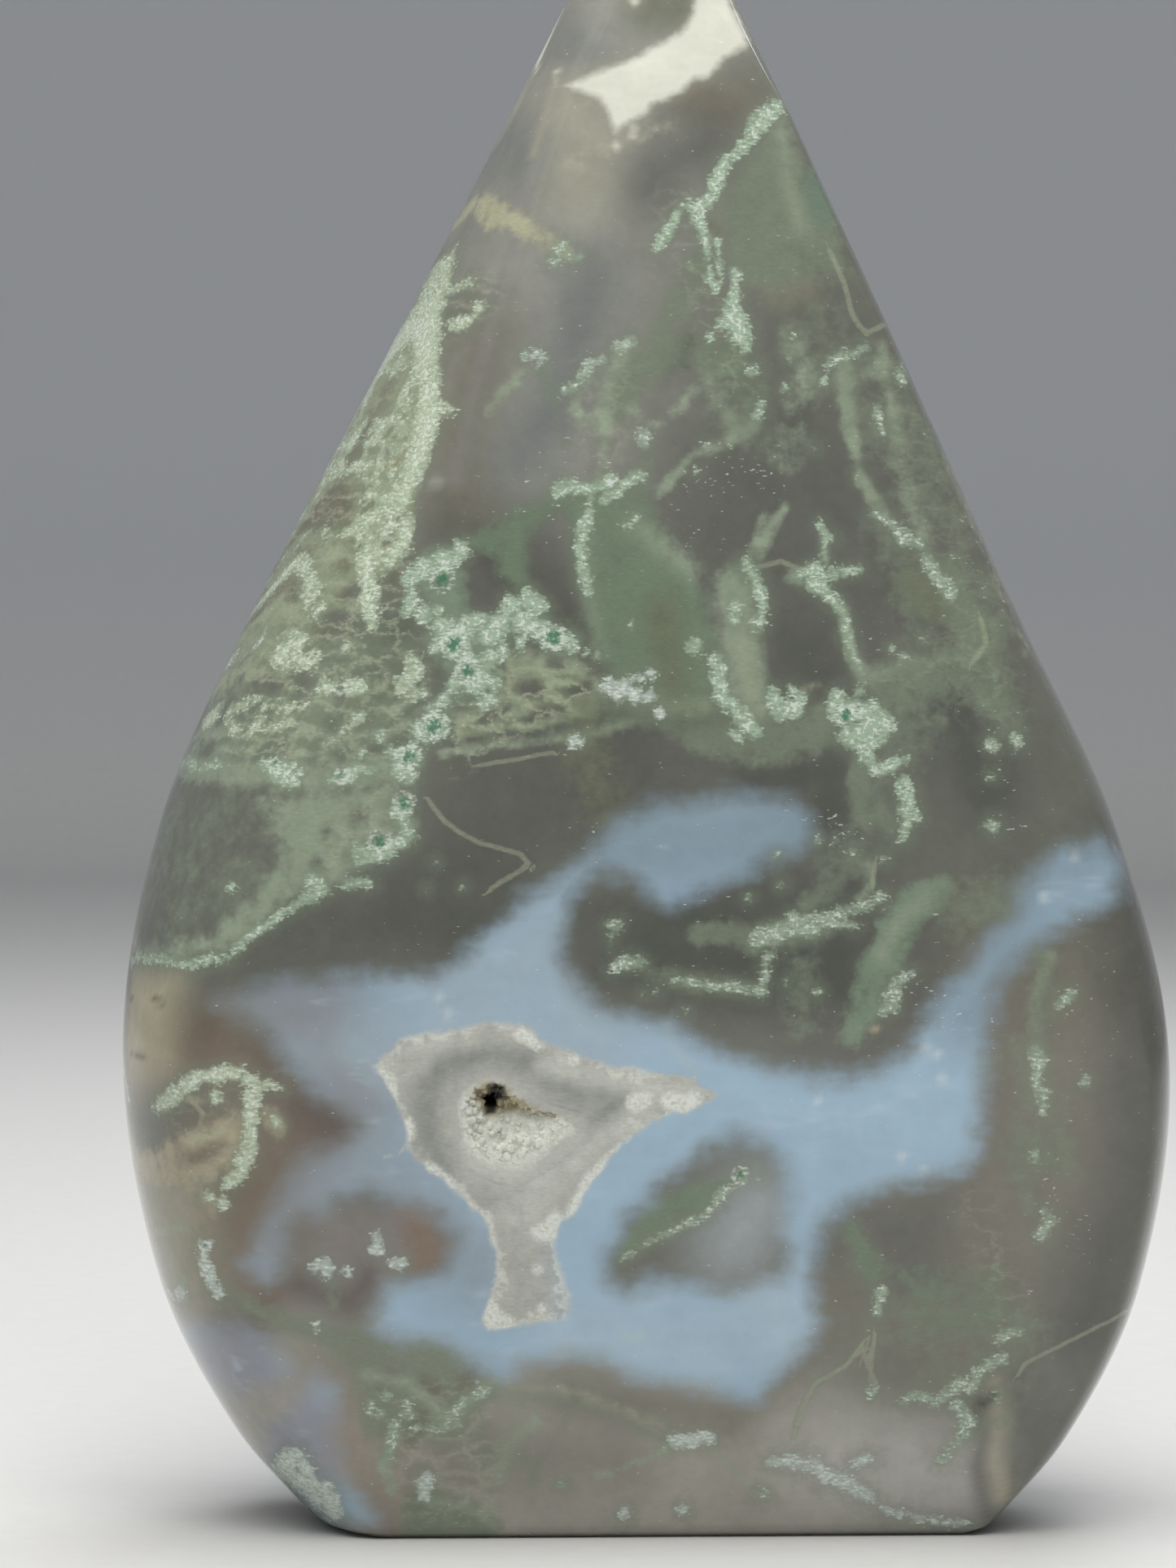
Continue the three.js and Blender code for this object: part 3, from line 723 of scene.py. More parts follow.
leftBorder = [
    [(556, 297, 4), (549, 330, 6), (541, 355, 8), (527, 385, 16), (522, 410, 18), (522, 440, 17),
     (526, 470, 14), (526, 500, 14), (522, 530, 15), (516, 555, 14), (503, 585, 12), (495, 610, 11),
     (487, 630, 8)],
    [(545, 500, 5), (560, 505, 3)],
    [(487, 622, 8), (465, 628, 7), (450, 640, 8), (440, 650, 5), (420, 655, 4)],
    [(500, 640, 9), (500, 660, 10), (492, 675, 8), (475, 692, 7), (462, 690, 5)],
    [(448, 680, 10), (450, 705, 12), (458, 725, 10), (450, 742, 10), (455, 755, 9), (458, 770, 6)],
    [(553, 358, 4), (565, 350, 5), (577, 346, 4)],
    [(590, 372, 4), (580, 392, 4), (560, 400, 8)],
    [(500, 395, 8), (488, 420, 9), (472, 442, 8)],
    [(495, 440, 5), (484, 458, 5)],
    [(470, 522, 8), (460, 538, 9), (452, 550, 5)],
] + dots((490, 530, 6), (495, 500, 6), (476, 748, 4))
leftNetwork = [
    [(372, 685, 8), (375, 700, 9), (385, 720, 8), (380, 735, 8), (392, 750, 6)],
    [(440, 575, 8), (455, 570, 4), (428, 578, 4)],
    [(362, 778, 8), (370, 788, 9), (355, 795, 8), (340, 812, 9), (350, 822, 6)],
    [(385, 798, 5), (388, 812, 7), (370, 822, 6), (355, 805, 7)],
    [(395, 838, 6), (400, 850, 5), (415, 840, 4)],
    [(425, 838, 6), (440, 840, 7), (430, 852, 7), (445, 845, 5)],
    [(282, 890, 6), (282, 878, 4), (292, 868, 4), (305, 864, 3), (322, 858, 3)],
    [(285, 895, 6), (300, 902, 4), (330, 896, 3), (355, 890, 4), (365, 888, 2)],
    [(322, 870, 4), (316, 895, 3)],
    [(325, 868, 3), (345, 866, 3), (352, 878, 4), (355, 888, 3)],
    [(352, 866, 3), (372, 868, 4)],
    [(420, 898, 5), (432, 893, 6), (440, 883, 6), (445, 878, 4)],
    [(400, 915, 4), (415, 905, 3)],
    [(505, 808, 7), (512, 825, 9), (500, 835, 8), (490, 845, 8), (505, 852, 6), (528, 852, 4)],
] + dots((425, 795, 6), (400, 655, 5), (395, 760, 4))
mintClusters = dots(
    (565, 675, 12), (545, 690, 16), (520, 700, 14), (500, 712, 10), (505, 735, 10), (500, 752, 8),
    (520, 755, 12), (535, 750, 8), (545, 770, 14), (560, 790, 22), (575, 770, 14), (590, 765, 12),
    (535, 795, 10), (600, 780, 14), (615, 765, 14), (630, 745, 14), (650, 735, 12), (660, 745, 12),
    (645, 765, 16), (665, 775, 14), (680, 785, 15), (695, 785, 10), (705, 795, 8), (620, 800, 8),
    (640, 795, 8), (575, 815, 15), (585, 835, 18), (600, 810, 12), (605, 840, 10), (600, 860, 9),
    (595, 865, 7), (560, 840, 10), (545, 860, 8), (530, 875, 8), (533, 893, 18), (515, 900, 8),
    (500, 930, 17), (495, 945, 14), (505, 955, 9), (470, 905, 8), (482, 922, 9), (720, 803, 4), (732, 806, 4))
lowerStroke = [
    [(250, 945, 4), (262, 938, 4), (275, 940, 3)],
    [(328, 938, 8), (345, 950, 13), (355, 960, 9), (365, 950, 6)],
    [(405, 958, 5), (424, 955, 9), (440, 946, 7), (458, 944, 4)],
    [(445, 920, 4), (440, 935, 5)],
]
whiteCrust = dots(
    (655, 436, 5), (666, 446, 4), (730, 445, 6), (768, 426, 5), (790, 536, 7), (750, 840, 7),
    (765, 840, 8), (785, 835, 6), (800, 828, 5), (760, 855, 8), (780, 858, 8), (800, 853, 5),
    (775, 848, 6), (705, 910, 7), (712, 912, 5), (812, 877, 5),
) + [[(740, 846, 4), (765, 848, 6), (800, 856, 4)]]
middleCrust = [
    [(685, 605, 7), (698, 598, 8), (715, 600, 8), (730, 600, 7), (752, 590, 7)],
    [(765, 598, 6), (785, 585, 6)],
    [(740, 615, 5), (760, 605, 5)],
    [(722, 632, 7), (715, 655, 8), (712, 670, 7), (715, 690, 6), (718, 710, 7), (722, 728, 5)],
] + dots((725, 618, 5), (768, 648, 6), (782, 637, 4), (853, 793, 8), (775, 770, 5))
rightClusters = [
    [(917, 692, 5), (928, 710, 7), (936, 735, 7), (937, 750, 5), (932, 766, 8)],
    [(1008, 645, 3), (1014, 658, 5), (1024, 662, 3)],
    [(1013, 664, 1), (1015, 690, 2)],
    [(985, 705, 5), (1000, 701, 8), (1020, 705, 6), (1040, 703, 4), (1055, 700, 3)],
    [(1000, 716, 9), (1015, 728, 7), (1028, 742, 7), (1034, 750, 4)],
    [(1038, 760, 2), (1041, 778, 6), (1046, 795, 4), (1052, 812, 2), (1062, 832, 2)],
    [(880, 812, 8), (885, 840, 10), (888, 856, 9), (900, 870, 9), (915, 885, 12), (925, 897, 9)],
    [(950, 853, 8), (956, 872, 12), (975, 870, 11), (985, 858, 7), (975, 850, 5)],
    [(1030, 853, 8), (1025, 870, 11), (1040, 875, 16), (1070, 875, 14), (1085, 890, 12), (1060, 900, 15),
     (1040, 905, 9), (1060, 920, 9), (1085, 905, 8)],
    [(1065, 935, 8), (1080, 945, 9), (1095, 940, 7), (1112, 935, 5)],
    [(1110, 962, 8), (1116, 985, 9), (1115, 1005, 9), (1112, 1015, 7)],
] + dots((905, 745, 8), (900, 760, 6), (905, 905, 7), (1055, 850, 6), (1095, 895, 6), (1110, 1028, 5),
         (1125, 1003, 5))
sheetEdge = [
    [(503, 985, 5), (490, 995, 10), (497, 1010, 6), (505, 1030, 5), (495, 1035, 7), (470, 1045, 13),
     (445, 1055, 8), (440, 1045, 7)],
    [(380, 1080, 7), (400, 1095, 6), (375, 1105, 6), (360, 1115, 6)],
    [(350, 1120, 4), (330, 1135, 4), (300, 1155, 4), (290, 1165, 4)],
    [(280, 1175, 5), (255, 1180, 5), (235, 1187, 5), (215, 1183, 5), (195, 1178, 5), (165, 1180, 4)],
    line(4, (425, 1085), (455, 1085)),
] + dots((285, 1090, 6), (535, 1060, 1), (570, 1090, 1), (525, 1092, 1))
cloudCrust = [
    [(748, 1138, 3), (760, 1136, 4)],
    [(750, 1150, 2), (752, 1158, 2)],
    [(755, 1190, 6), (770, 1182, 9), (785, 1182, 6)],
    line(5, (830, 1205), (860, 1210), (890, 1212), (920, 1216), (935, 1218), (940, 1205), (940, 1190),
         (942, 1175)),
    [(930, 1155, 10), (945, 1150, 13), (970, 1140, 12), (1000, 1140, 10), (1020, 1130, 8)],
    line(5, (970, 1127), (1000, 1130), (1020, 1128), (1040, 1135), (1050, 1138)),
    line(5, (1030, 1120), (1055, 1115), (1070, 1108), (1085, 1103)),
    [(1120, 1197, 4), (1105, 1205, 5), (1098, 1220, 8), (1095, 1235, 8), (1085, 1242, 6)],
] + dots((960, 1087, 4), (920, 1103, 2), (955, 1050, 2), (1005, 1032, 2), (1048, 1048, 3), (1085, 1056, 3),
         (965, 1208, 2), (1005, 1217, 3), (808, 1217, 2), (790, 1222, 2), (843, 1243, 2))
farRightCrust = [
    [(1272, 1293, 6), (1277, 1306, 8), (1272, 1330, 5), (1280, 1345, 8), (1282, 1362, 5)],
    [(1315, 1222, 7), (1300, 1240, 4)],
    line(6, (1290, 1500), (1278, 1520)),
    line(6, (1083, 1590), (1078, 1612)),
    [(908, 1455, 4), (885, 1470, 5), (870, 1490, 4), (855, 1500, 4), (800, 1525, 3), (765, 1546, 3)],
] + dots((1270, 1422, 6), (1335, 1328, 4), (1285, 1490, 4), (912, 1445, 9), (930, 1447, 4))
leftArc = [
    [(195, 1360, 6), (210, 1350, 10), (225, 1335, 9), (245, 1325, 9), (270, 1322, 10), (295, 1318, 8),
     (320, 1335, 7), (310, 1350, 11), (308, 1370, 12), (308, 1385, 8), (310, 1400, 8), (303, 1425, 10),
     (290, 1445, 8), (280, 1457, 7)],
    [(325, 1333, 4), (350, 1337, 3)],
    line(6, (255, 1470), (275, 1480)),
] + dots((340, 1380, 6), (265, 1350, 7))
lowerLeftCrust = [
    [(252, 1530, 8), (248, 1545, 5), (255, 1560, 7), (262, 1575, 8), (270, 1588, 7)],
    [(390, 1555, 7), (400, 1552, 7), (402, 1565, 7)],
    [(464, 1520, 6), (464, 1535, 7)],
    [(482, 1552, 6), (494, 1552, 6)],
    [(425, 1563, 5), (428, 1565, 4)],
    [(523, 1815, 8), (521, 1835, 9)],
    [(828, 1772, 7), (850, 1768, 8), (872, 1768, 6)],
] + dots((222, 1590, 6), (388, 1628, 5), (252, 1532, 8), (768, 1860, 6), (840, 1855, 6))
bottomCrust = [
    line(4, (455, 1725), (455, 1740), (470, 1740)),
    line(5, (500, 1725), (505, 1740), (495, 1740)),
    line(6, (485, 1750), (482, 1765), (480, 1785)),
    line(4, (500, 1757), (550, 1755), (565, 1750)),
    line(5, (600, 1705), (570, 1725), (550, 1745)),
    [(1110, 1722, 4), (1125, 1712, 5), (1150, 1725, 4), (1165, 1712, 6), (1180, 1700, 8), (1195, 1705, 7),
     (1200, 1690, 7), (1215, 1678, 6), (1225, 1672, 6), (1235, 1670, 4)],
    line(5, (1225, 1645), (1250, 1637)),
    [(1175, 1727, 6), (1190, 1745, 8), (1185, 1755, 8), (1180, 1770, 4), (1165, 1785, 5), (1155, 1795, 6)],
] + dots((475, 1714, 6), (1070, 1710, 6), (690, 1825, 4), (938, 1838, 6), (1225, 1715, 5))
whiteFeather = [
    [(945, 1797, 4), (970, 1797, 7), (1000, 1800, 8), (1015, 1815, 10), (1035, 1820, 9), (1065, 1838, 8)],
    [(1052, 1797, 6), (1068, 1793, 6)],
    line(3, (1070, 1845), (1100, 1860), (1140, 1868), (1190, 1872)),
]
cornerDruzy = [
    [(360, 1790, 12), (345, 1805, 10), (375, 1825, 10), (400, 1830, 10), (410, 1860, 11)],
    [(372, 1800, 10), (390, 1845, 9)],
]
# painted highlight: pale dashes along the left rim, drawn as mint-white crusts
leftRimHighlight = [line(3, (515, 370), (500, 396)), line(3, (455, 465), (438, 500)),
           [(420, 545, 4), (405, 585, 6), (395, 600, 3)], line(4, (325, 765), (316, 790))]

# All the crusts by their tone, with a painted highlight along the left rim among the mint-white ones.
crustMarks = [
    ("mint", mintVein + coneCrust + mintClusters + lowerStroke + middleCrust + rightClusters + sheetEdge),
    ("dullMint", upperKnots + rightKnots + cloudCrust + farRightCrust + bottomCrust),
    ("creamWhite", leftBorder + leftNetwork + leftArc),
    ("mintWhite", whiteCrust + lowerLeftCrust + whiteFeather + cornerDruzy + leftRimHighlight),
]
crustBlend = {"inside": 5, "fade": 7}    # pixels over which neighbouring crusts' tones mix

# Thin threads, each with its half width in pixels.
mossThreads = [
    line(2.5, (420, 870), (430, 855), (460, 845)),
    line(2.5, (590, 940), (640, 932), (680, 925)),
    line(2.8, (527, 985), (545, 1008), (565, 1023), (590, 1036), (620, 1044), (640, 1050), (651, 1063),
         (636, 1072), (615, 1084), (600, 1095)),
    line(3.0, (1018, 305), (1030, 330), (1038, 350), (1045, 380), (1055, 400), (1065, 410), (1085, 400)),
    line(3.0, (1072, 1090), (1075, 1060)),
    line(2.2, (1395, 1605), (1370, 1620), (1340, 1635), (1310, 1650), (1290, 1660), (1260, 1675),
         (1250, 1690)),
    line(2.5, (1062, 1650), (1040, 1678), (1000, 1702), (986, 1730), (975, 1765)),
    line(2.2, (1075, 1640), (1068, 1700)),
    line(3.0, (285, 1375), (262, 1400), (235, 1392)),
    line(3.0, (230, 1345), (250, 1370), (240, 1400)),
    line(3.0, (1060, 1660), (1075, 1700)),
    line(3.0, (920, 700), (960, 690), (1000, 706)),
    line(3.0, (1205, 760), (1212, 790), (1195, 815)),
]

# Eyes: x, y and the radius of the pale ring round a deep green core.
mossEyes = [
    (543, 712, 17), (558, 792, 20), (575, 825, 17), (680, 782, 18), (533, 893, 21), (503, 930, 18),
    (420, 953, 11), (337, 938, 9), (497, 987, 15), (466, 1035, 16), (487, 637, 11), (457, 730, 9),
    (418, 848, 9), (1040, 878, 15), (909, 1445, 12), (252, 1532, 9),
]

# Places where the crust is a loose froth of lumps: strength, softness and mark.
frothFields = [
    (0.66, 14, area((545, 320), (545, 400), (540, 560), (505, 640), (500, 690), (470, 700), (440, 690),
                    (415, 660), (440, 600), (425, 575), (460, 520), (500, 440), (520, 380))),
    (0.6, 12, line(16, (380, 690), (385, 740))),
    (0.6, 12, line(18, (455, 700), (460, 760))),
    (0.66, 12, line(20, (350, 785), (368, 815))),
    (0.5, 14, line(14, (400, 845), (440, 845))),
    (0.6, 14, line(16, (500, 820), (505, 850))),
    (0.6, 12, line(14, (560, 680), (520, 710), (505, 750))),
    (0.58, 14, line(22, (560, 800), (600, 790), (640, 760), (690, 780))),
    (0.55, 12, line(12, (560, 860), (530, 900), (495, 935))),
    (0.5, 12, line(14, (480, 1015), (470, 1045), (400, 1085))),
    (0.5, 12, area((875, 390), (925, 380), (935, 450), (905, 460), (870, 430))),
    (0.5, 12, line(10, (690, 600), (760, 600))),
    (0.5, 12, line(12, (718, 640), (722, 720))),
    (0.58, 12, line(16, (925, 700), (935, 765))),
    (0.6, 12, line(24, (1045, 875), (1065, 900))),
    (0.55, 10, line(14, (995, 715), (1025, 735))),
    (0.55, 12, line(12, (890, 850), (915, 885))),
    (0.5, 12, line(14, (1095, 645), (1160, 720))),
    (0.5, 12, line(14, (940, 1152), (1010, 1138))),
    (0.5, 14, line(24, (460, 1715), (500, 1745), (540, 1750))),
    (0.5, 14, line(14, (1110, 1722), (1180, 1705), (1230, 1672))),
    (0.5, 14, line(12, (960, 1800), (1060, 1835))),
    (0.5, 14, line(12, (1190, 1735), (1165, 1790))),
    (0.62, 12, line(20, (365, 1795), (400, 1850))),
    (0.5, 10, line(8, (1275, 1290), (1280, 1360))),
    (0.5, 10, line(8, (310, 1340), (300, 1440))),
    (0.5, 10, line(8, (735, 845), (800, 850))),
]

# Places with a fine network of pale strands round dark pores: strength, softness and mark.
webFields = [
    (0.85, 18, area((420, 590), (500, 600), (500, 690), (500, 760), (530, 830), (520, 900), (480, 940),
                    (380, 940), (265, 935), (300, 850), (330, 780), (372, 690))),
    (1.0, 16, area((600, 825), (690, 815), (745, 850), (640, 900), (560, 950), (545, 880))),
    (0.6, 16, area((470, 960), (510, 1000), (450, 1050), (390, 1080), (420, 1000))),
    (0.6, 16, area((440, 480), (500, 470), (505, 590), (450, 590), (430, 540))),
    (0.7, 20, line(22, (590, 360), (555, 390))),
    (0.3, 24, area((700, 440), (780, 420), (790, 520), (740, 600), (700, 540))),
    (0.2, 24, area((1050, 420), (1110, 430), (1180, 640), (1220, 800), (1180, 900), (1150, 760),
                   (1090, 600))),
    (0.25, 24, line(26, (1080, 830), (1180, 790), (1230, 850))),
    (0.35, 20, line(26, (830, 250), (860, 330), (905, 470))),
    (0.45, 20, area((450, 1700), (600, 1700), (620, 1870), (500, 1870))),
    (0.3, 20, line(20, (1200, 1480), (1240, 1600))),
    (0.3, 20, area((200, 1360), (300, 1340), (290, 1440), (230, 1440))),
]

# Places with many small white flecks: strength, softness and mark.
fleckFields = [
    (1.0, 30, line(26, (850, 600), (905, 575), (950, 590))),
    (0.8, 30, line(22, (860, 660), (910, 650))),
    (0.9, 24, line(14, (690, 985), (720, 1010), (740, 1040))),
    (0.8, 24, line(16, (740, 560), (790, 600))),
    (1.0, 26, line(18, (960, 985), (1010, 1005), (1060, 1030))),
    (0.8, 30, line(20, (1040, 780), (1080, 790))),
    (0.7, 30, line(26, (1180, 640), (1210, 740))),
    (0.8, 30, line(24, (1220, 900), (1240, 1000))),
    (0.8, 30, line(26, (1120, 1220), (1210, 1260))),
    (0.4, 40, line(30, (1330, 1150), (1350, 1300))),
    (0.8, 30, line(24, (1290, 1440), (1330, 1560))),
    (0.6, 30, line(24, (640, 1560), (660, 1600))),
    (0.6, 30, line(30, (700, 560), (660, 620))),
    (0.7, 24, line(18, (850, 1100), (900, 1110))),
]

# The blue cloud, with the window in it, the lavender patches and the tones along it.
cloudOutline = area(
    (265, 1235), (300, 1222), (340, 1210), (400, 1205), (450, 1200), (480, 1197), (535, 1200), (562, 1184),
    (580, 1164), (596, 1147), (618, 1132), (646, 1112), (672, 1090), (704, 1062), (737, 1032), (755, 1012),
    (780, 1002), (810, 987), (850, 982), (900, 975), (950, 985), (976, 988), (990, 1002), (996, 1026),
    (984, 1044), (960, 1050), (940, 1058), (922, 1074), (895, 1088), (868, 1093), (832, 1103), (820, 1112),
    (800, 1102), (780, 1083), (750, 1073), (735, 1071), (715, 1085), (700, 1110), (690, 1140), (688, 1170),
    (700, 1197), (715, 1218), (735, 1240), (770, 1251), (820, 1260), (850, 1280), (890, 1292), (920, 1300),
    (960, 1314), (1000, 1323), (1050, 1326), (1078, 1315), (1104, 1297), (1125, 1272), (1143, 1246),
    (1162, 1218), (1180, 1197), (1200, 1172), (1222, 1147), (1245, 1122), (1255, 1096), (1272, 1070),
    (1302, 1044), (1350, 1036), (1376, 1050), (1380, 1080), (1366, 1108), (1330, 1128), (1290, 1148),
    (1262, 1168), (1236, 1194), (1222, 1224), (1212, 1258), (1208, 1292), (1206, 1345), (1203, 1420),
    (1176, 1441), (1140, 1448), (1080, 1463), (1040, 1478), (1018, 1498), (1002, 1520), (996, 1542),
    (1000, 1580), (1010, 1618), (1007, 1640), (978, 1668), (948, 1698), (930, 1722), (900, 1714),
    (850, 1708), (800, 1699),
    (770, 1690), (740, 1672), (700, 1668), (650, 1677), (620, 1690), (600, 1680), (570, 1668), (550, 1653),
    (500, 1646), (460, 1630), (475, 1580), (520, 1575), (550, 1560), (560, 1520), (540, 1495), (500, 1480),
    (450, 1462), (415, 1475), (400, 1490), (370, 1495), (350, 1510), (355, 1530), (345, 1555), (330, 1578),
    (300, 1555), (310, 1520), (325, 1495), (345, 1470), (360, 1445), (378, 1424), (420, 1404), (440, 1385),
    (420, 1362), (395, 1345), (372, 1322), (350, 1298), (330, 1270), (290, 1250))
cloudWindow = area(
    (905, 1395), (870, 1410), (850, 1430), (810, 1455), (795, 1480), (770, 1500), (765, 1520), (745, 1540),
    (748, 1570), (770, 1585), (800, 1575), (850, 1575), (900, 1590), (930, 1580), (960, 1570), (975, 1540),
    (960, 1500), (970, 1470), (965, 1440), (950, 1410))
lavenderPatches = [
    area((212, 1628), (265, 1628), (310, 1640), (352, 1668), (358, 1690), (322, 1712), (285, 1716),
         (250, 1700)),
    area((385, 1695), (410, 1710), (408, 1760), (415, 1800), (430, 1830), (455, 1870), (400, 1870),
         (350, 1830), (320, 1790), (330, 1750), (360, 1715)),
]
cloudTones = [
    ("trunkBlue", 1.0, 60, line(70, (560, 1230), (680, 1160), (720, 1260))),
    ("milkWhite", 0.5, 60, line(40, (700, 1650), (860, 1660))),
    ("milkWhite", 0.6, 50, line(40, (930, 1560), (960, 1640))),
    ("smokyBlue", 0.9, 50, line(40, (1190, 1250), (1230, 1180), (1270, 1100), (1340, 1060))),
    ("smokyBlue", 1.0, 50, line(60, (760, 1040), (1000, 1020))),
    ("lavender", 1.0, 70, line(60, (250, 1235), (400, 1250), (440, 1350), (380, 1430), (330, 1520))),
    ("lavender", 0.6, 60, line(50, (500, 1460), (590, 1560))),
    ("trunkBlue", 0.7, 40, line(30, (440, 1285), (470, 1300))),
    ("lilac", 1.0, 40, line(60, (280, 1670), (380, 1780))),
    ("mintWhite", 0.35, 10, line(4, (800, 1225), (820, 1250), (830, 1290), (855, 1320))),
    ("mintWhite", 0.4, 8, line(4, (680, 1665), (700, 1655))),
    ("mintWhite", 0.4, 8, line(4, (765, 1645), (790, 1640))),
] + [("white", 0.4, 5, mark) for mark in dots(
    (540, 1225, 5), (550, 1245, 5), (1320, 1052, 5), (1282, 1102, 6), (1137, 1288, 6), (1152, 1296, 5),
    (1157, 1325, 6), (1108, 1422, 6), (1135, 1438, 5), (1005, 1352, 5))]

# The chalk-white band at the top, with its dots.
chalkBand = area(
    (855, 0), (848, 20), (835, 38), (815, 50), (795, 58), (770, 72), (750, 80), (730, 88), (715, 95),
    (700, 100), (682, 103), (700, 110), (715, 115), (735, 122), (745, 135), (748, 150), (755, 162),
    (765, 158), (780, 148), (795, 140), (805, 128), (820, 122), (835, 115), (845, 107), (855, 98),
    (870, 95), (880, 85), (890, 72), (905, 65), (920, 58), (922, 50), (898, 0), (890, -30), (868, -75),
    (856, -40))
chalkDots = dots((685, 90, 6), (780, 0, 8), (778, 163, 6), (757, 180, 6))

# The grey banded quartz round the pit.
druzyOutline = area(
    (455, 1310), (470, 1325), (485, 1350), (495, 1375), (503, 1395), (495, 1413), (473, 1422), (500, 1412),
    (530, 1440), (560, 1465), (580, 1485), (595, 1495), (603, 1520), (610, 1545), (610, 1570), (605, 1590),
    (595, 1610), (590, 1625), (600, 1633), (625, 1632), (660, 1625), (698, 1620), (700, 1590), (690, 1560),
    (680, 1535), (685, 1515), (690, 1500), (705, 1492), (715, 1475), (725, 1455), (740, 1440), (750, 1420),
    (770, 1402), (785, 1390), (800, 1382), (820, 1370), (845, 1365), (860, 1358), (885, 1343), (860, 1335),
    (855, 1325), (830, 1320), (790, 1315), (745, 1310), (720, 1302), (705, 1297), (690, 1287), (665, 1280),
    (655, 1265), (640, 1258), (600, 1258), (550, 1266), (500, 1275), (470, 1300))
druzyGlints = [
    [(462, 1312, 5), (472, 1325, 7), (482, 1345, 4)],
    [(500, 1380, 5), (503, 1395, 4)],
    [(525, 1432, 3), (542, 1446, 6), (557, 1465, 7), (580, 1485, 3), (598, 1505, 4), (604, 1530, 4)],
    [(700, 1495, 4), (712, 1470, 4), (728, 1450, 9), (742, 1432, 4), (775, 1402, 4)],
    [(662, 1515, 8), (678, 1512, 11), (682, 1500, 7)],
    [(780, 1355, 9), (795, 1350, 6)],
    [(822, 1352, 8), (840, 1357, 11), (855, 1350, 6)],
    [(598, 1605, 9), (606, 1622, 12), (625, 1628, 7)],
    [(640, 1270, 6), (662, 1284, 4)],
] + dots((473, 1422, 5), (666, 1610, 5), (660, 1560, 4), (705, 1302, 5))
druzyTones = [
    ("druzyGrey", 1.0, 18, line(16, (548, 1440), (525, 1400), (522, 1345), (545, 1312), (600, 1292),
                                (650, 1305), (700, 1340), (760, 1350), (740, 1375))),
    ("druzyGrey", 0.5, 16, line(14, (548, 1440), (600, 1468), (650, 1478))),
    ("druzyGrey", 0.2, 14, line(16, (640, 1530), (650, 1600))),
    ("trunkBlue", 0.6, 18, line(16, (690, 1540), (695, 1640))),
    ("druzyLight", 0.9, 14, line(12, (670, 1310), (720, 1320), (790, 1335), (850, 1340))),
    ("druzyLight", 0.6, 14, line(10, (500, 1288), (560, 1278), (640, 1272))),
    ("druzyLight", 0.8, 14, line(14, (700, 1430), (740, 1400), (790, 1365))),
    ("druzyLight", 0.8, 24, line(24, (590, 1435), (670, 1450), (640, 1490))),
]

# How far from each kind of mark its distance is worked out, in pixels. An eye's is in its radii.
farthest = {"crust": 60, "thread": 30, "glint": 60, "patch": 300, "chalkDot": 200, "eye": 3.0}
faint = {"sheet": 1e-6, "crust": 1e-9}   # weight of the tone that shows where no mark reaches

# How the back's markings wander off the front's, in pixels, so that the sides mirror less.
backWander = {
    "across": 70,
    "down": 80,
    "waves": (95, 80, 110, 70),  # pixels to a radian, of two waves across and two down
    "starts": (1.3, 0.6),        # radians at which the first of each two starts
    "seconds": (0.6, 0.4),       # strength of the second of each two
    "settle": 0.1,               # share of the way round the back in which the wander grows in
    "turnAngle": 62,             # degrees round a flank where the front's markings end
    "quartzFade": 12,            # mm by which the grey quartz draws back there, which removes it
}


# Where each point's markings are read. The front reads the photo's frame, and a point at the back
# starts from its mirror image in front. From the flanks round the back, the reading runs evenly
# from one side to the other, and wanders on slow waves. The last result is 1 where it wanders.
def markingSpots(rings):
    counts = stone["flankColumns"]
    columns = rings.shape[1]
    ahead = np.array([1, -1, 1]) * rings
    x, y = photoSpots(np.where(rings[:, :, 1:2] > 0, ahead, rings).reshape(-1, 3))
    x, y = x.reshape(rings.shape[:2]), y.reshape(rings.shape[:2])
    past = 1 - backWander["turnAngle"] / 90
    firstBack = columns - round(counts[3] * past)
    lastBack = counts[0] + stone["backColumns"] + counts[1] + round(counts[2] * past)
    order = np.arange(firstBack, columns + lastBack + 1) % columns
    steps = np.linalg.norm(np.diff(rings[:, order], axis=1), axis=2)
    share = np.hstack((np.zeros((len(rings), 1)), np.cumsum(steps, axis=1)))
    share /= share[:, -1:]
    grow = smoothStep(share, 0, backWander["settle"]) * smoothStep(share, 1, 1 - backWander["settle"])
    level = x[:, order[:1]] + (x[:, order[-1:]] - x[:, order[:1]]) * share
    down = y[:, order]
    a, b, c, d = backWander["waves"]
    (startX, startY), (secondX, secondY) = backWander["starts"], backWander["seconds"]
    across = np.sin(down / a + startX) + secondX * np.sin(level / b)
    below = np.sin(level / c + startY) + secondY * np.sin(down / d)
    x[:, order] = level + grow * backWander["across"] * across
    y[:, order] = down + grow * backWander["down"] * below
    behind = np.zeros(x.shape)
    behind[:, order] = grow
    return x.ravel(), y.ravel(), behind.ravel()


# Lays soft marks over a tone, each by its share.
def washOver(under, x, y, washes):
    colours = np.tile(tone(under), (len(x), 1))
    for name, strength, soft, mark in washes:
        near, share = softMark(x, y, strength, soft, mark)
        colours[near] += (tone(name) - colours[near]) * share[:, None]
    return colours


# The sheets' colour as the mean of the tones that reach a spot, and their density, in which the
# midDark marks are gaps.
def sheetLayer(x, y):
    weight = np.full(len(x), faint["sheet"])
    total = tone("sage") * weight[:, None]
    cover = np.zeros(len(x))
    for name, strength, soft, mark in mossSheets:
        near, share = softMark(x, y, strength, soft, mark)
        keep = (1 - share)[:, None]
        total[near] = total[near] * keep + tone(name) * share[:, None]
        weight[near] = weight[near] * keep[:, 0] + share
        opaque = 0.0 if name == "midDark" else 1.0
        cover[near] += (opaque - cover[near]) * share
    return total / weight[:, None], cover


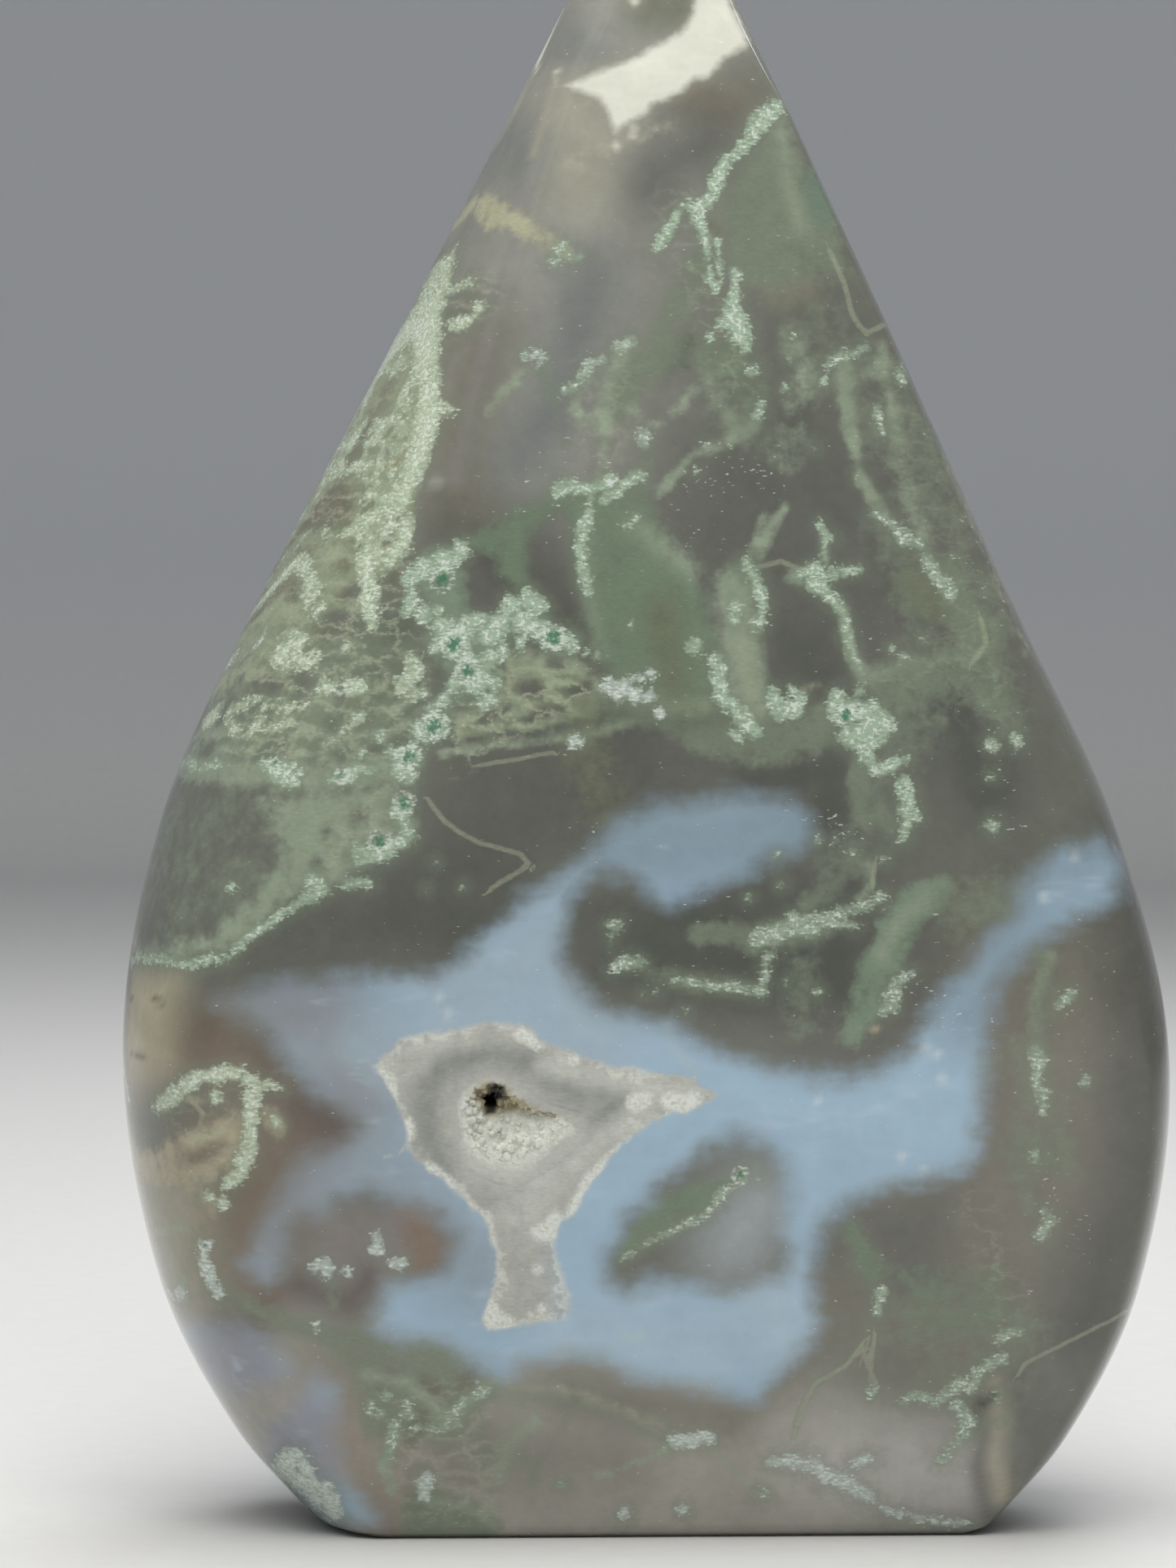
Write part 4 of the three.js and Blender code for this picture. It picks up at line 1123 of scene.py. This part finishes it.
# The tone of the nearest crusts, each weighing exp(-distance / fade), and their edge distance in mm.
def crustLayer(x, y):
    far = farthest["crust"]
    nearest = np.full(len(x), float(far))
    weight = np.full(len(x), faint["crust"])
    total = tone("mint") * weight[:, None]
    for name, marks in crustMarks:
        for mark in marks:
            near = nearMark(x, y, mark, far)
            away = strokeDistance(x[near], y[near], mark)
            nearest[near] = np.minimum(nearest[near], away)
            pull = np.exp(-np.maximum(away, -crustBlend["inside"]) / crustBlend["fade"])
            total[near] += tone(name) * pull[:, None]
            weight[near] += pull
    return total / weight[:, None], nearest / spotsPerMm


# The threads as two layers: the side of the nearest one over its half width, and the plain
# distance in mm, which masks the places where the side flips between two threads.
def threadLayer(x, y):
    far = farthest["thread"]
    plain, side = np.full(len(x), float(far)), np.full(len(x), float(far))
    for mark in mossThreads:
        near = nearMark(x, y, mark, far)
        for (x0, y0, half), (x1, y1, _) in zip(mark, mark[1:]):
            dx, dy = x1 - x0, y1 - y0
            rx, ry = x[near] - x0, y[near] - y0
            along = np.clip((rx * dx + ry * dy) / (dx * dx + dy * dy), 0, 1)
            away = np.hypot(rx - along * dx, ry - along * dy)
            signed = np.where(rx * dy - ry * dx < 0, -away, away) / half
            closer = away < plain[near]
            side[near] = np.where(closer, signed, side[near])
            plain[near] = np.where(closer, away, plain[near])
    return side, plain / spotsPerMm


# The strongest of some soft fields at each spot.
def fieldLayer(x, y, fields):
    most = np.zeros(len(x))
    for strength, soft, mark in fields:
        near, share = softMark(x, y, strength, soft, mark)
        most[near] = np.maximum(most[near], share)
    return most


# Distance in pixels to the nearest of some marks, no more than their kind's farthest.
def nearestMark(x, y, marks, kind):
    far = farthest[kind]
    nearest = np.full(len(x), float(far))
    for mark in marks:
        near = nearMark(x, y, mark, far)
        nearest[near] = np.minimum(nearest[near], markDistance(x[near], y[near], mark))
    return nearest


# The grey quartz zone, which the back doesn't have: its edge distance, tone and bright grains.
def quartzLayers(x, y, behind):
    edge = areaDistance(x, y, druzyOutline) / spotsPerMm + backWander["quartzFade"] * behind
    return {
        "druzy": edge,
        "druzyTone": washOver("druzyPale", x, y, druzyTones),
        "glint": np.maximum(nearestMark(x, y, druzyGlints, "glint") / spotsPerMm, edge),
    }


# All the layers that the stone's finish reads, by name: distances in mm, densities and colours.
def markingLayers(x, y, behind):
    layers = {"groundTone": washOver("stone", x, y, bodyWashes)}
    layers["sheetTone"], layers["sheet"] = sheetLayer(x, y)
    layers["crustTone"], layers["crust"] = crustLayer(x, y)
    layers["threadSide"], layers["threadNear"] = threadLayer(x, y)
    cloud = areaDistance(x, y, cloudOutline)
    cloud = np.maximum(cloud, -areaDistance(x, y, cloudWindow))
    layers["blue"] = np.minimum(cloud, nearestMark(x, y, lavenderPatches, "patch")) / spotsPerMm
    layers["blueTone"] = washOver("blue", x, y, cloudTones)
    chalk = np.minimum(areaDistance(x, y, chalkBand), nearestMark(x, y, chalkDots, "chalkDot"))
    layers["chalk"] = chalk / spotsPerMm
    layers.update(quartzLayers(x, y, behind))
    eye = np.full(len(x), farthest["eye"])
    for cx, cy, radius in mossEyes:
        eye = np.minimum(eye, np.hypot(x - cx, y - cy) / radius)
    layers["eye"] = eye
    layers["flecks"] = fieldLayer(x, y, fleckFields)
    layers["froth"] = fieldLayer(x, y, frothFields)
    layers["web"] = fieldLayer(x, y, webFields)
    return layers


# Each layer becomes an attribute of the piece's points, which its finish reads by name.
def storeLayers(piece, layers):
    for name, values in layers.items():
        kind, key = ("FLOAT_COLOR", "color") if values.ndim == 2 else ("FLOAT", "value")
        if values.ndim == 2:
            values = np.hstack((values, np.ones((len(values), 1))))
        layer = piece.data.attributes.new(name, kind, "POINT")
        layer.data.foreach_set(key, values.astype(np.float32).ravel())


# The whole stone: base rings that are shares of the lowest level, from the middle out, then the
# levels with the pit pressed in, then the tip's cap. Only the pit is shaded flat.
def buildStone():
    rings = stoneRings()
    columns = rings.shape[1]
    x, y, behind = markingSpots(rings)
    rings, below = sinkPit(rings)
    shares = np.array(stone["baseRings"][::-1])
    base = rings[0][None] * np.append(np.repeat(shares[:, None, None], 2, axis=2),
                                      np.ones((len(shares), 1, 1)), axis=2)
    middle = np.array([[0.0, 0.0, 0.0]])
    top = np.array([[*rings[-1, :, :2].mean(0), stone["height"]]])
    points = np.vstack((middle, base.reshape(-1, 3), rings.reshape(-1, 3), top))
    levels = len(rings) + len(shares)
    quads = ringFaces(levels, columns, 1)
    lowRing = 1 + np.arange(columns)
    highRing = 1 + (levels - 1) * columns + np.arange(columns)
    fans = [fan(lowRing, 0, False), fan(highRing, len(points) - 1, True)]
    piece = makeMesh("polished_agate", points, quads, fans, True)
    inPit = np.concatenate((np.zeros(1 + len(shares) * columns, bool), below.ravel(), [False]))
    smooth = np.concatenate((~inPit[quads].any(axis=1), np.ones(2 * columns, bool)))
    piece.data.polygons.foreach_set("use_smooth", smooth)
    baseX = np.tile(x[:columns], len(shares))
    baseY = np.tile(y[:columns], len(shares)) - np.repeat(1 - shares, columns) * stone["underReach"]
    spotX = np.concatenate(([x[:columns].mean()], baseX, x, [x[-columns:].mean()]))
    middleY = y[:columns].mean() - stone["underReach"]
    spotY = np.concatenate(([middleY], baseY, y, [y[-columns:].mean()]))
    spotBehind = np.concatenate(([1], np.ones(len(baseX)), behind, [0]))
    storeLayers(piece, markingLayers(spotX, spotY, spotBehind))
    return piece


agate = buildStone()
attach(agate, "root")
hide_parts("agate_teardrop")
print("stone built,", len(agate.data.polygons), "faces")


# Crust: the pit's lining, with small six-sided quartz points grown on its wall.
crust = {
    "basin": 0.55,               # mm from the mouth down to the crystals' bed
    "holeDepth": 2.2,            # and from the bed down into the narrow hole
    "holeInner": 0.1,
    "holeOuter": 0.52,
    "grain": 0.03,               # random roughness of the crystals' faces
    "bedded": 0.03,              # how far its back is set into the stone
    "lip": 0.44,                 # mm that its thin rim laps over the face
    "lipRise": 0.006,
    "lipRings": [0.3, 1.0],      # how far along the lip its two rings lie
    "lipShares": [1.05, 1.1],    # and what the finish reads there, past 1 at the mouth
    "columns": 330,
    "frontRings": 120,
    "backRings": 12,
    "floor": 0.02,               # share at the innermost ring
    "crowding": 0.8,             # under 1 draws the front's rings out from the hole
    "points": 420,
    "width": 0.32,
    "length": 0.22,
    "sizes": (0.55, 1.1),        # smallest point, and how much larger the largest is
    "steepness": 1.25,           # over 1 flattens each point's top
    "upright": 0.6,              # how much a point's height counts in its six-sided distance
    "sides": (0, 1.047, 2.094),  # radians, directions of its three pairs of faces
    "tilt": 0.2,
    "lean": 0.3,                 # how far the points turn from the wall's normal to the mouth
    "reach": 0.97,
    "edgeFade": 0.12,            # share of the way in from the mouth over which they grow
    "seed": 11,
}

# Tones of the crust, with the brown stains round its hole and painted shade down in it: tone, strength,
# softness, mark.
pitStainsAndShade = [
    ("druzyLight", 0.7, 9, line(12, (570, 1322), (600, 1318), (640, 1330), (690, 1352))),
    ("strand", 0.8, 7, area((576, 1344), (590, 1328), (618, 1326), (650, 1346), (700, 1368), (706, 1376),
                            (640, 1368), (600, 1372))),
    ("pitBrown", 0.8, 5, area((584, 1344), (600, 1328), (620, 1330), (642, 1346), (652, 1360), (622, 1362),
                              (596, 1368))),
    # painted shade: the hole drawn dark
    ("dark", 1.0, 3, area((604, 1330), (620, 1333), (622, 1346), (612, 1352), (608, 1368), (596, 1370),
                          (598, 1350))),
]


# The crust's front: a shallow basin, depth = basin (1 - share^2)^2, with a narrow hole round its
# innermost point. Quartz points stand at random places on it. Each is a six-sided pyramid with a
# flat top, height = length times steepness (1 - six-sided distance / radius), at most 1. The
# highest at each place is kept, and a little random grain is added.
def crystalFront(angle, share):
    x, _, z = pitWall(angle, share)
    away = np.hypot(x - pit["deepX"], z - pit["deepZ"])
    hole = smoothStep(away, crust["holeOuter"], crust["holeInner"])
    deep = crust["basin"] * (1 - share**2) ** 2 + crust["holeDepth"] * hole
    wall = np.stack((x, deep, z), axis=2)
    around = np.roll(wall, -1, axis=1) - np.roll(wall, 1, axis=1)
    along = np.gradient(wall, axis=0)
    normal = np.cross(around, along)
    normal /= np.linalg.norm(normal, axis=2, keepdims=True)
    normal *= -np.sign(normal[len(wall) // 2, :, 1].mean())
    lean = normal * (1 - crust["lean"]) + np.array([0, -1, 0]) * crust["lean"]
    lean /= np.linalg.norm(lean, axis=2, keepdims=True)
    rise = np.zeros(angle.shape)
    draw = np.random.default_rng(crust["seed"])
    smallest, larger = crust["sizes"]
    for i in range(crust["points"]):
        row = int((len(wall) - 1) * crust["reach"] * math.sqrt(draw.random()))
        column = int(draw.random() * wall.shape[1])
        size = smallest + larger * draw.random() ** 2
        foot, up = wall[row, column], lean[row, column]
        side = np.cross(up, [math.cos(i), crust["tilt"], math.sin(i)])   # turned point by point
        side /= np.linalg.norm(side)
        other = np.cross(up, side)
        a, b = (wall - foot) @ side, (wall - foot) @ other
        spread = [np.abs(a * math.cos(t) + b * math.sin(t)) for t in crust["sides"]]
        spread = np.maximum.reduce([*spread, crust["upright"] * np.abs((wall - foot) @ up)])
        radius = crust["width"] * size / 2
        point = crust["length"] * size * np.clip(crust["steepness"] * (1 - spread / radius), 0, 1)
        rise = np.maximum(rise, point)
    rise += crust["grain"] * draw.random(angle.shape)
    fade = smoothStep(1 - share, 0.0, crust["edgeFade"])
    return wall + lean * (rise * fade)[:, :, None]


# Rings from the hole out over the front, over the mouth as a thin lip, and back along the wall.
def buildCrust():
    angle = np.linspace(0, 2 * math.pi, crust["columns"], endpoint=False)[None, :]
    share = np.linspace(crust["floor"], 1, crust["frontRings"])[:, None] ** crust["crowding"]
    front = crystalFront(angle + 0 * share, share + 0 * angle)
    lap = np.array(crust["lipRings"])[:, None]
    x, _, z = pitWall(angle + 0 * lap, 1 + 0 * lap, -crust["lip"] * lap)
    lip = np.stack((x, np.full(x.shape, -crust["lipRise"]), z), axis=2)
    backShare = np.linspace(1, crust["floor"], crust["backRings"])[:, None]
    x, deep, z = pitWall(angle + 0 * backShare, backShare + 0 * angle, -crust["bedded"])
    back = np.stack((x, np.maximum(deep, crust["bedded"]), z), axis=2)
    front[:, :, 1] = np.maximum(front[:, :, 1], -crust["lipRise"])
    rings = np.concatenate((front, lip, back))
    rings[:, :, 1] -= faceDepth(pit["z"] + rings[:, :, 2])
    rings += np.array([pit["x"], 0, pit["z"]])
    levels, columns = rings.shape[:2]
    points = np.vstack((rings[0].mean(0), rings.reshape(-1, 3), rings[-1].mean(0)))
    quads = ringFaces(levels, columns, 1)[:, ::-1]
    lowRing = 1 + np.arange(columns)
    highRing = 1 + (levels - 1) * columns + np.arange(columns)
    fans = [fan(lowRing, 0, True), fan(highRing, len(points) - 1, False)]
    piece = makeMesh("druzy_lining", points, quads, fans, False)
    shares = np.concatenate((share.ravel(), crust["lipShares"], backShare.ravel()))
    x, y = photoSpots(points)
    storeLayers(piece, {
        "mouthShare": np.concatenate(([0], np.repeat(shares, columns), [0])),
        "stainAndShadeTone": washOver("druzyBright", x, y, pitStainsAndShade),
        **quartzLayers(x, y, 0),
    })
    return piece


lining = buildCrust()
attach(lining, "root")
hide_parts("druzy_crust")
print("crust built,", len(lining.data.polygons), "faces")


# A value socket of a node tree, on which an expression adds Math nodes.
class Flow:
    def __init__(self, finish, socket):
        self.finish, self.socket = finish, socket

    def math(self, operation, *values, first=None):
        start = self if first is None else first
        return self.finish.node("Math", {"operation": operation}, dict(enumerate((start, *values))))

    def __add__(self, other):
        return self.math("ADD", other)

    __radd__ = __add__

    def __sub__(self, other):
        return self.math("SUBTRACT", other)

    def __rsub__(self, other):
        return self.math("SUBTRACT", self, first=other)

    def __mul__(self, other):
        return self.math("MULTIPLY", other)

    __rmul__ = __mul__

    def __abs__(self):
        return self.math("ABSOLUTE")

    # Another output of the node that this value comes from.
    def beside(self, output):
        return Flow(self.finish, self.socket.node.outputs[output])

    def least(self, other):
        return self.math("MINIMUM", other)

    def most(self, other):
        return self.math("MAXIMUM", other)

    # 0 at low and 1 at high, with soft ends. High may be the smaller one.
    def between(self, low, high):
        settings = {"interpolation_type": "SMOOTHSTEP"}
        return self.finish.node("MapRange", settings, {"Value": self, "From Min": low, "From Max": high})


# A material whose nodes are added one by one.
class Finish:
    def __init__(self, name):
        self.material = bpy.data.materials.new(name)
        self.material.use_nodes = True
        self.tree = self.material.node_tree
        self.shader = self.tree.nodes["Principled BSDF"]

    def feed(self, socket, value):
        if isinstance(value, Flow):
            self.tree.links.new(value.socket, socket)
        else:
            socket.default_value = value

    def node(self, kind, settings, inputs, output=0):
        made = self.tree.nodes.new("ShaderNode" + kind)
        for key, value in settings.items():
            setattr(made, key, value)
        for key, value in inputs.items():
            self.feed(made.inputs[key], value)
        return Flow(self, made.outputs[output])

    # One of the layers that a piece's points store: a value, or a colour.
    def layer(self, name, colour=False):
        return self.node("Attribute", {"attribute_name": name}, {}, 0 if colour else 2)

    # A layer whose edge wavers: its value plus each noise, less its mean, times an amount.
    def ragged(self, name, *parts):
        value = self.layer(name)
        for amount, noise in parts:
            value = value + amount * (noise - 0.5)
        return value

    # A colour times a base to which each noise is added, times an amount.
    def mottled(self, colour, base, *parts):
        for amount, noise in parts:
            base = base + amount * noise
        return self.scale(colour, base)

    # Object coordinates in mm, with a stretch along each axis.
    def place(self, stretch=(1, 1, 1), turn=(0, 0, 0)):
        spot = self.node("TexCoord", {}, {}, 3)
        scale = [1000 * share for share in stretch]
        return self.node("Mapping", {}, {"Vector": spot, "Scale": scale, "Rotation": turn})

    def noise(self, spot, size, detail, rough):
        inputs = {"Vector": spot, "Scale": 1 / size, "Detail": detail, "Roughness": rough}
        return self.node("TexNoise", {}, inputs)

    # One colour over another, by its share.
    def blend(self, share, under, over):
        inputs = {0: share, 6: under, 7: over}
        return self.node("Mix", {"data_type": "RGBA"}, inputs, 2)

    def scale(self, colour, value):
        return self.node("VectorMath", {"operation": "SCALE"}, {0: colour, "Scale": value})

    def colour(self, name):
        return (*tone(name), 1.0)

    def apply(self, inputs):
        for key, value in inputs.items():
            self.feed(self.shader.inputs[key], value)

    # The stone's shader from its values, with what changes over the surface.
    def finished(self, values, colour, roughness, height):
        relief = {"Strength": values["bump"], "Distance": values["bumpDepth"], "Height": height}
        self.apply({
            "Base Color": colour,
            "Roughness": roughness,
            "Normal": self.node("Bump", {}, relief),
            "IOR": values["ior"],
            "Subsurface Weight": values["glow"],
            "Subsurface Radius": values["glowTint"],
            "Subsurface Scale": values["glowReach"],
        })
        return self.material


# Each noise's size in mm, detail and roughness, and the stretch and turn of those that have one.
noises = {
    "mist": (2.8, 3, 0.62),
    "curd": (0.75, 3, 0.62),
    "grit": (0.2, 1, 0.6),
    "flake": (0.13, 1, 0.6),
    "wisp": (0.9, 2, 0.55),
    "paper": (1.5, 3, 0.6),
}
turned = {
    "flake": ((0.4, 0.4, 1), (0, 0.14, 0)),
    "wisp": ((0.3, 0.6, 1), (0, 0.5, 0)),
    "cells": ((0.62, 0.62, 1), (math.pi / 2, 0.5, 0)),
}

# Where the layers start and where they are full, in mm from their marks' edges, which count
# negative inside. The thread's side is in its half widths, the eye in its radii.
edges = {
    "cloud": (0.95, -1.1),
    "threadSide": (1.6, 0.5),
    "threadNear": (0.5, 0.3),
    "pores": (0.12, 0.34),
    "strands": (0.15, 0.03),
    "crust": (0.18, -0.16),
    "flakes": (0.3, 0.1),
    "ring": (0.3, 0.05),
    "eye": (0.6, 0.2),
    "chalkVeil": (0.7, -0.2),
    "chalk": (0.2, -0.4),
    "quartz": (0.2, -0.16),
    "matte": (0.1, -0.15),
    "rim": (-0.55, -0.15),
    "beads": (0.3, -0.15),
    "pit": (0.78, 1.02),         # as a share of the way to the pit's mouth
}

# Polished agate: its gloss, and how much each layer covers of the ones below.
polish = {
    "roughness": 0.09,
    "quartzRoughness": 0.34,     # added on the grey quartz zone
    "speckRoughness": 0.15,      # and on the specks
    "ior": 1.54,
    "glow": 0.1,                 # weight of light scattered under the surface
    "glowReach": 0.001,
    "glowTint": (1.0, 0.9, 0.75),
    "bump": 0.3,
    "bumpDepth": 0.0001,
    "sheetCover": 0.9,
    "wispCover": 0.4,
    "poreCover": 0.6,
    "strandCover": 0.7,
    "haloReach": 0.9,            # mm of pale veil round each crust
    "haloCover": 0.4,
    "crustCover": 0.9,
    "flakeCover": 0.85,
    "flakeWhite": 0.8,
    "ringCover": 0.5,
    "eyeCover": 0.85,
    "chalkVeil": 0.35,
    "speckCover": 0.5,
}

# Druzy quartz, in the pit and in the grey zone round it.
sugar = {
    "roughness": 0.4,
    "grainRoughness": 0.1,
    "ior": 1.54,
    "glow": 0.1,
    "glowReach": 0.0002,
    "glowTint": (1.0, 0.98, 0.9),
    "bump": 0.3,
    "bumpDepth": 0.00006,
    "edgeSugar": 0.7,
    "sugarCover": 0.8,
    "beadWhite": 0.7,
}


# Four noises that both finishes use, from broad clouds to grains that lie nearly level.
def stoneNoises(f):
    spot = f.place()
    mist, curd, grit = (f.noise(spot, *noises[name]) for name in ("mist", "curd", "grit"))
    flake = f.noise(f.place(*turned["flake"]), *noises["flake"])
    return mist, curd, grit, flake


# The grey quartz zone round the pit, with bright sugary grains along parts of its edge.
def quartzColour(f, mist, curd, grit, flake):
    bands = f.mottled(f.layer("druzyTone", True), 0.52, (0.2, mist), (0.5, curd), (0.28, flake))
    rim = f.ragged("druzy", (2.6, curd)).between(*edges["rim"])
    rim = rim * mist.between(0.35, 0.6) * sugar["edgeSugar"]
    beads = f.ragged("glint", (0.4, curd)).between(*edges["beads"])
    grains = f.mottled(f.colour("druzyBright")[:3], 0.6, (0.55, flake), (0.4, grit))
    edging = f.blend(rim.most(beads) * sugar["sugarCover"], bands, grains)
    return f.blend(beads * grit.between(0.42, 0.58) * sugar["beadWhite"], edging, f.colour("white"))


# Each layer's edge is roughened by noise, in mm, before it covers the ones below: sheets, cloud,
# threads, web, crusts, eyes, chalk band, quartz zone and specks.
def agateFinish():
    f = Finish("polishedMossAgate")
    mist, curd, grit, flake = stoneNoises(f)
    flatSpot = f.place(*turned["cells"])
    warped = f.node("VectorMath", {"operation": "MULTIPLY_ADD"}, {
        0: curd.beside("Color"), 1: (1.1, 1.1, 1.1), 2: flatSpot})
    cells = f.node("TexVoronoi", {"feature": "DISTANCE_TO_EDGE", "voronoi_dimensions": "2D"},
                   {"Vector": warped, "Scale": 1})
    drift = (mist - 0.5) * 1.4 + (curd - 0.5) * 1.5
    white = f.colour("white")

    ground = f.mottled(f.layer("groundTone", True), 0.68, (0.34, mist), (0.22, curd), (0.08, flake))

    sheet = f.layer("sheet")
    cover = (sheet + 0.9 * drift * sheet.between(0, 0.3)).between(0.0, 0.95)
    veil = f.mottled(f.layer("sheetTone", True), 0.66, (0.26, flake), (0.2, mist), (0.22, curd))
    skin = f.blend(cover * polish["sheetCover"], ground, veil)

    wisp = f.noise(f.place(*turned["wisp"]), *noises["wisp"])
    blue = f.ragged("blue", (0.8, curd), (1.5, mist), (1.0, wisp))
    milk = f.mottled(f.layer("blueTone", True), 0.78, (0.2, mist), (0.12, curd), (0.12, wisp))
    milk = f.blend(wisp.between(0.58, 0.8) * polish["wispCover"], milk, f.colour("milkWhite"))
    skin = f.blend(blue.between(*edges["cloud"]), skin, milk)

    side = abs(f.ragged("threadSide", (1.4, curd), (0.5, grit)))
    thread = side.between(*edges["threadSide"]) * f.layer("threadNear").between(*edges["threadNear"])
    skin = f.blend(thread * (0.2 + 0.4 * flake), skin, f.colour("webStrand"))

    web = f.layer("web")
    pores = cells.between(*edges["pores"]) * web * mist.between(0.34, 0.54)
    skin = f.blend(pores * polish["poreCover"], skin, f.colour("pore"))
    strands = cells.between(*edges["strands"]) * web * (0.3 + 0.7 * flake.between(0.35, 0.6))
    skin = f.blend(strands * polish["strandCover"], skin, f.colour("webStrand"))

    crustTone = f.layer("crustTone", True)
    edge = f.ragged("crust", (1.0, curd), (0.4, grit))
    edge = edge.least(2.1 - 3.2 * f.layer("froth") + 1.5 * (curd - 0.5) + 0.6 * (flake - 0.5))
    halo = edge.between(polish["haloReach"], -0.1)
    skin = f.blend(halo * polish["haloCover"], skin, f.colour("sage"))
    bed = f.mottled(crustTone, 0.26, (0.58, flake), (0.3, grit), (0.36, curd))
    skin = f.blend(edge.between(*edges["crust"]) * polish["crustCover"], skin, bed)
    flakes = (flake - 0.6 * edge - 0.4 * (cells - 0.2)).between(0.54, 0.68)
    flakes = flakes * edge.between(*edges["flakes"])
    pale = f.blend(grit.between(0.44, 0.64) * polish["flakeWhite"], crustTone, white)
    skin = f.blend(flakes * polish["flakeCover"], skin, pale)

    eye = f.ragged("eye", (0.7, grit), (0.4, curd))
    ring = abs(eye - 0.8).between(*edges["ring"]) * flake.between(0.4, 0.6)
    skin = f.blend(ring * polish["ringCover"], skin, white)
    skin = f.blend(eye.between(*edges["eye"]) * polish["eyeCover"], skin, f.colour("deepGreen"))

    chalk = f.ragged("chalk", (0.5, curd), (0.4, wisp))
    chalkTone = f.mottled(f.colour("chalk")[:3], 0.7, (0.24, mist), (0.14, curd), (0.22, wisp))
    skin = f.blend(chalk.between(*edges["chalkVeil"]) * polish["chalkVeil"], skin, f.colour("creamGlow"))
    skin = f.blend(chalk.between(*edges["chalk"]), skin, chalkTone)

    druzy = f.ragged("druzy", (0.7, curd), (0.3, grit))
    skin = f.blend(druzy.between(*edges["quartz"]), skin, quartzColour(f, mist, curd, grit, flake))

    specks = (flake + 0.1 * f.layer("flecks") + 0.16 * (curd - 0.5)).between(0.76, 0.82)
    skin = f.blend(specks * polish["speckCover"], skin, white)

    matte = f.layer("druzy").between(*edges["matte"])
    gloss = polish["roughness"] + polish["quartzRoughness"] * matte + polish["speckRoughness"] * specks
    return f.finished(polish, skin, gloss, specks * 0.6 - matte * flake)


# Druzy quartz: pale and sugary, browner down in the hole, and darker there from painted shade.
def druzyFinish():
    f = Finish("sugaryQuartz")
    mist, curd, grit, flake = stoneNoises(f)
    share = f.ragged("mouthShare", (0.7, curd))
    body = f.mottled(f.layer("stainAndShadeTone", True), 0.2, (1.0, curd), (0.4, grit), (0.3, flake))
    body = f.blend(share.between(*edges["pit"]), body, quartzColour(f, mist, curd, grit, flake))
    gloss = sugar["roughness"] + sugar["grainRoughness"] * share.between(1.0, 0.9) * grit
    return f.finished(sugar, body, gloss, grit)


agate.data.materials.append(agateFinish())
lining.data.materials.append(druzyFinish())
print("finishes made")


# Studio: a round pale floor that sweeps up into a plain wall.
studio = {
    "floorRadius": 0.62,
    "innerRings": [0.02, 0.08, 0.16, 0.35],
    "sweep": 0.11,
    "sweepRings": 14,
    "wallTop": 0.56,
    "columns": 128,
    "floorTone": (0.74, 0.735, 0.72),
    "wallTone": (0.62, 0.635, 0.66),
    "toneTurn": (4, 64),         # mm above the floor between which the wall's tone takes over
    "roughness": 0.6,
    "world": (0.55, 0.58, 0.62),
    "worldStrength": 0.3,
}


# Floor and wall as one surface of revolution: flat, a quarter circle up, then straight.
def buildStudio():
    bend = np.linspace(0, math.pi / 2, studio["sweepRings"])
    flat, sweep, inner = studio["floorRadius"], studio["sweep"], np.array(studio["innerRings"])
    radius = np.concatenate((inner, flat + sweep * np.sin(bend), [flat + sweep]))
    height = np.concatenate((0 * inner, sweep * (1 - np.cos(bend)), [studio["wallTop"]]))
    turn = np.linspace(0, 2 * math.pi, studio["columns"], endpoint=False)
    rings = np.stack((radius[:, None] * np.cos(turn), radius[:, None] * np.sin(turn),
                      height[:, None] + 0 * turn), axis=2)
    points = np.vstack(([[0, 0, 0]], rings.reshape(-1, 3))) / mm
    quads = ringFaces(len(radius), len(turn), 1)[:, ::-1]
    floor = makeMesh("studioFloor", points, quads, [fan(1 + np.arange(len(turn)), 0, True)], True)
    f = Finish("studioPaper")
    spot = f.place()
    up = f.node("SeparateXYZ", {}, {0: spot}, 2)
    pale = f.mottled(studio["floorTone"], 0.96, (0.08, f.noise(spot, *noises["paper"])))
    colour = f.blend(up.between(*studio["toneTurn"]), pale, (*studio["wallTone"], 1))
    f.apply({"Base Color": colour, "Roughness": studio["roughness"]})
    floor.data.materials.append(f.material)


# Area lights: name, place and aim in metres, width, height, power and colour.
softLights = [
    ("overhead", (-0.02, -0.04, 0.44), (0, 0, 0.04), 0.36, 0.3, 1.3, (1, 0.985, 0.96)),
    ("frontFill", (-0.03, -0.27, 0.36), (0, 0, 0.04), 0.36, 0.16, 0.9, (1, 0.99, 0.97)),
    ("leftStrip", (-0.24, -0.03, 0.32), (0, 0, 0.08), 0.1, 0.2, 0.015, (1, 1, 1)),
    ("backGlow", (0.1, 0.22, 0.3), (0, 0, 0.04), 0.2, 0.2, 0.4, (0.95, 0.97, 1)),
]


# Each light looks along its own -Z from its place to its aim.
def buildLights():
    for name, place, aim, width, height, power, colour in softLights:
        light = bpy.data.lights.new(name, "AREA")
        light.shape, light.size, light.size_y = "RECTANGLE", width, height
        light.energy, light.color = power, colour
        lamp = bpy.data.objects.new(name, light)
        back = np.array(place) - np.array(aim)
        back /= np.linalg.norm(back)
        side = np.cross([0, 0, 1], back)
        side /= np.linalg.norm(side)
        standAt(lamp, place, (side, np.cross(back, side), back))
        lamp.visible_glossy = name != "frontFill"      # its mirror image would hide the ridge
    world = bpy.data.worlds.new("studioAir")
    world.use_nodes = True
    world.node_tree.nodes["Background"].inputs["Color"].default_value = (*studio["world"], 1)
    world.node_tree.nodes["Background"].inputs["Strength"].default_value = studio["worldStrength"]
    bpy.context.scene.world = world
    bpy.context.scene.view_settings.view_transform = "Standard"


buildStudio()
buildLights()
print("studio lit")
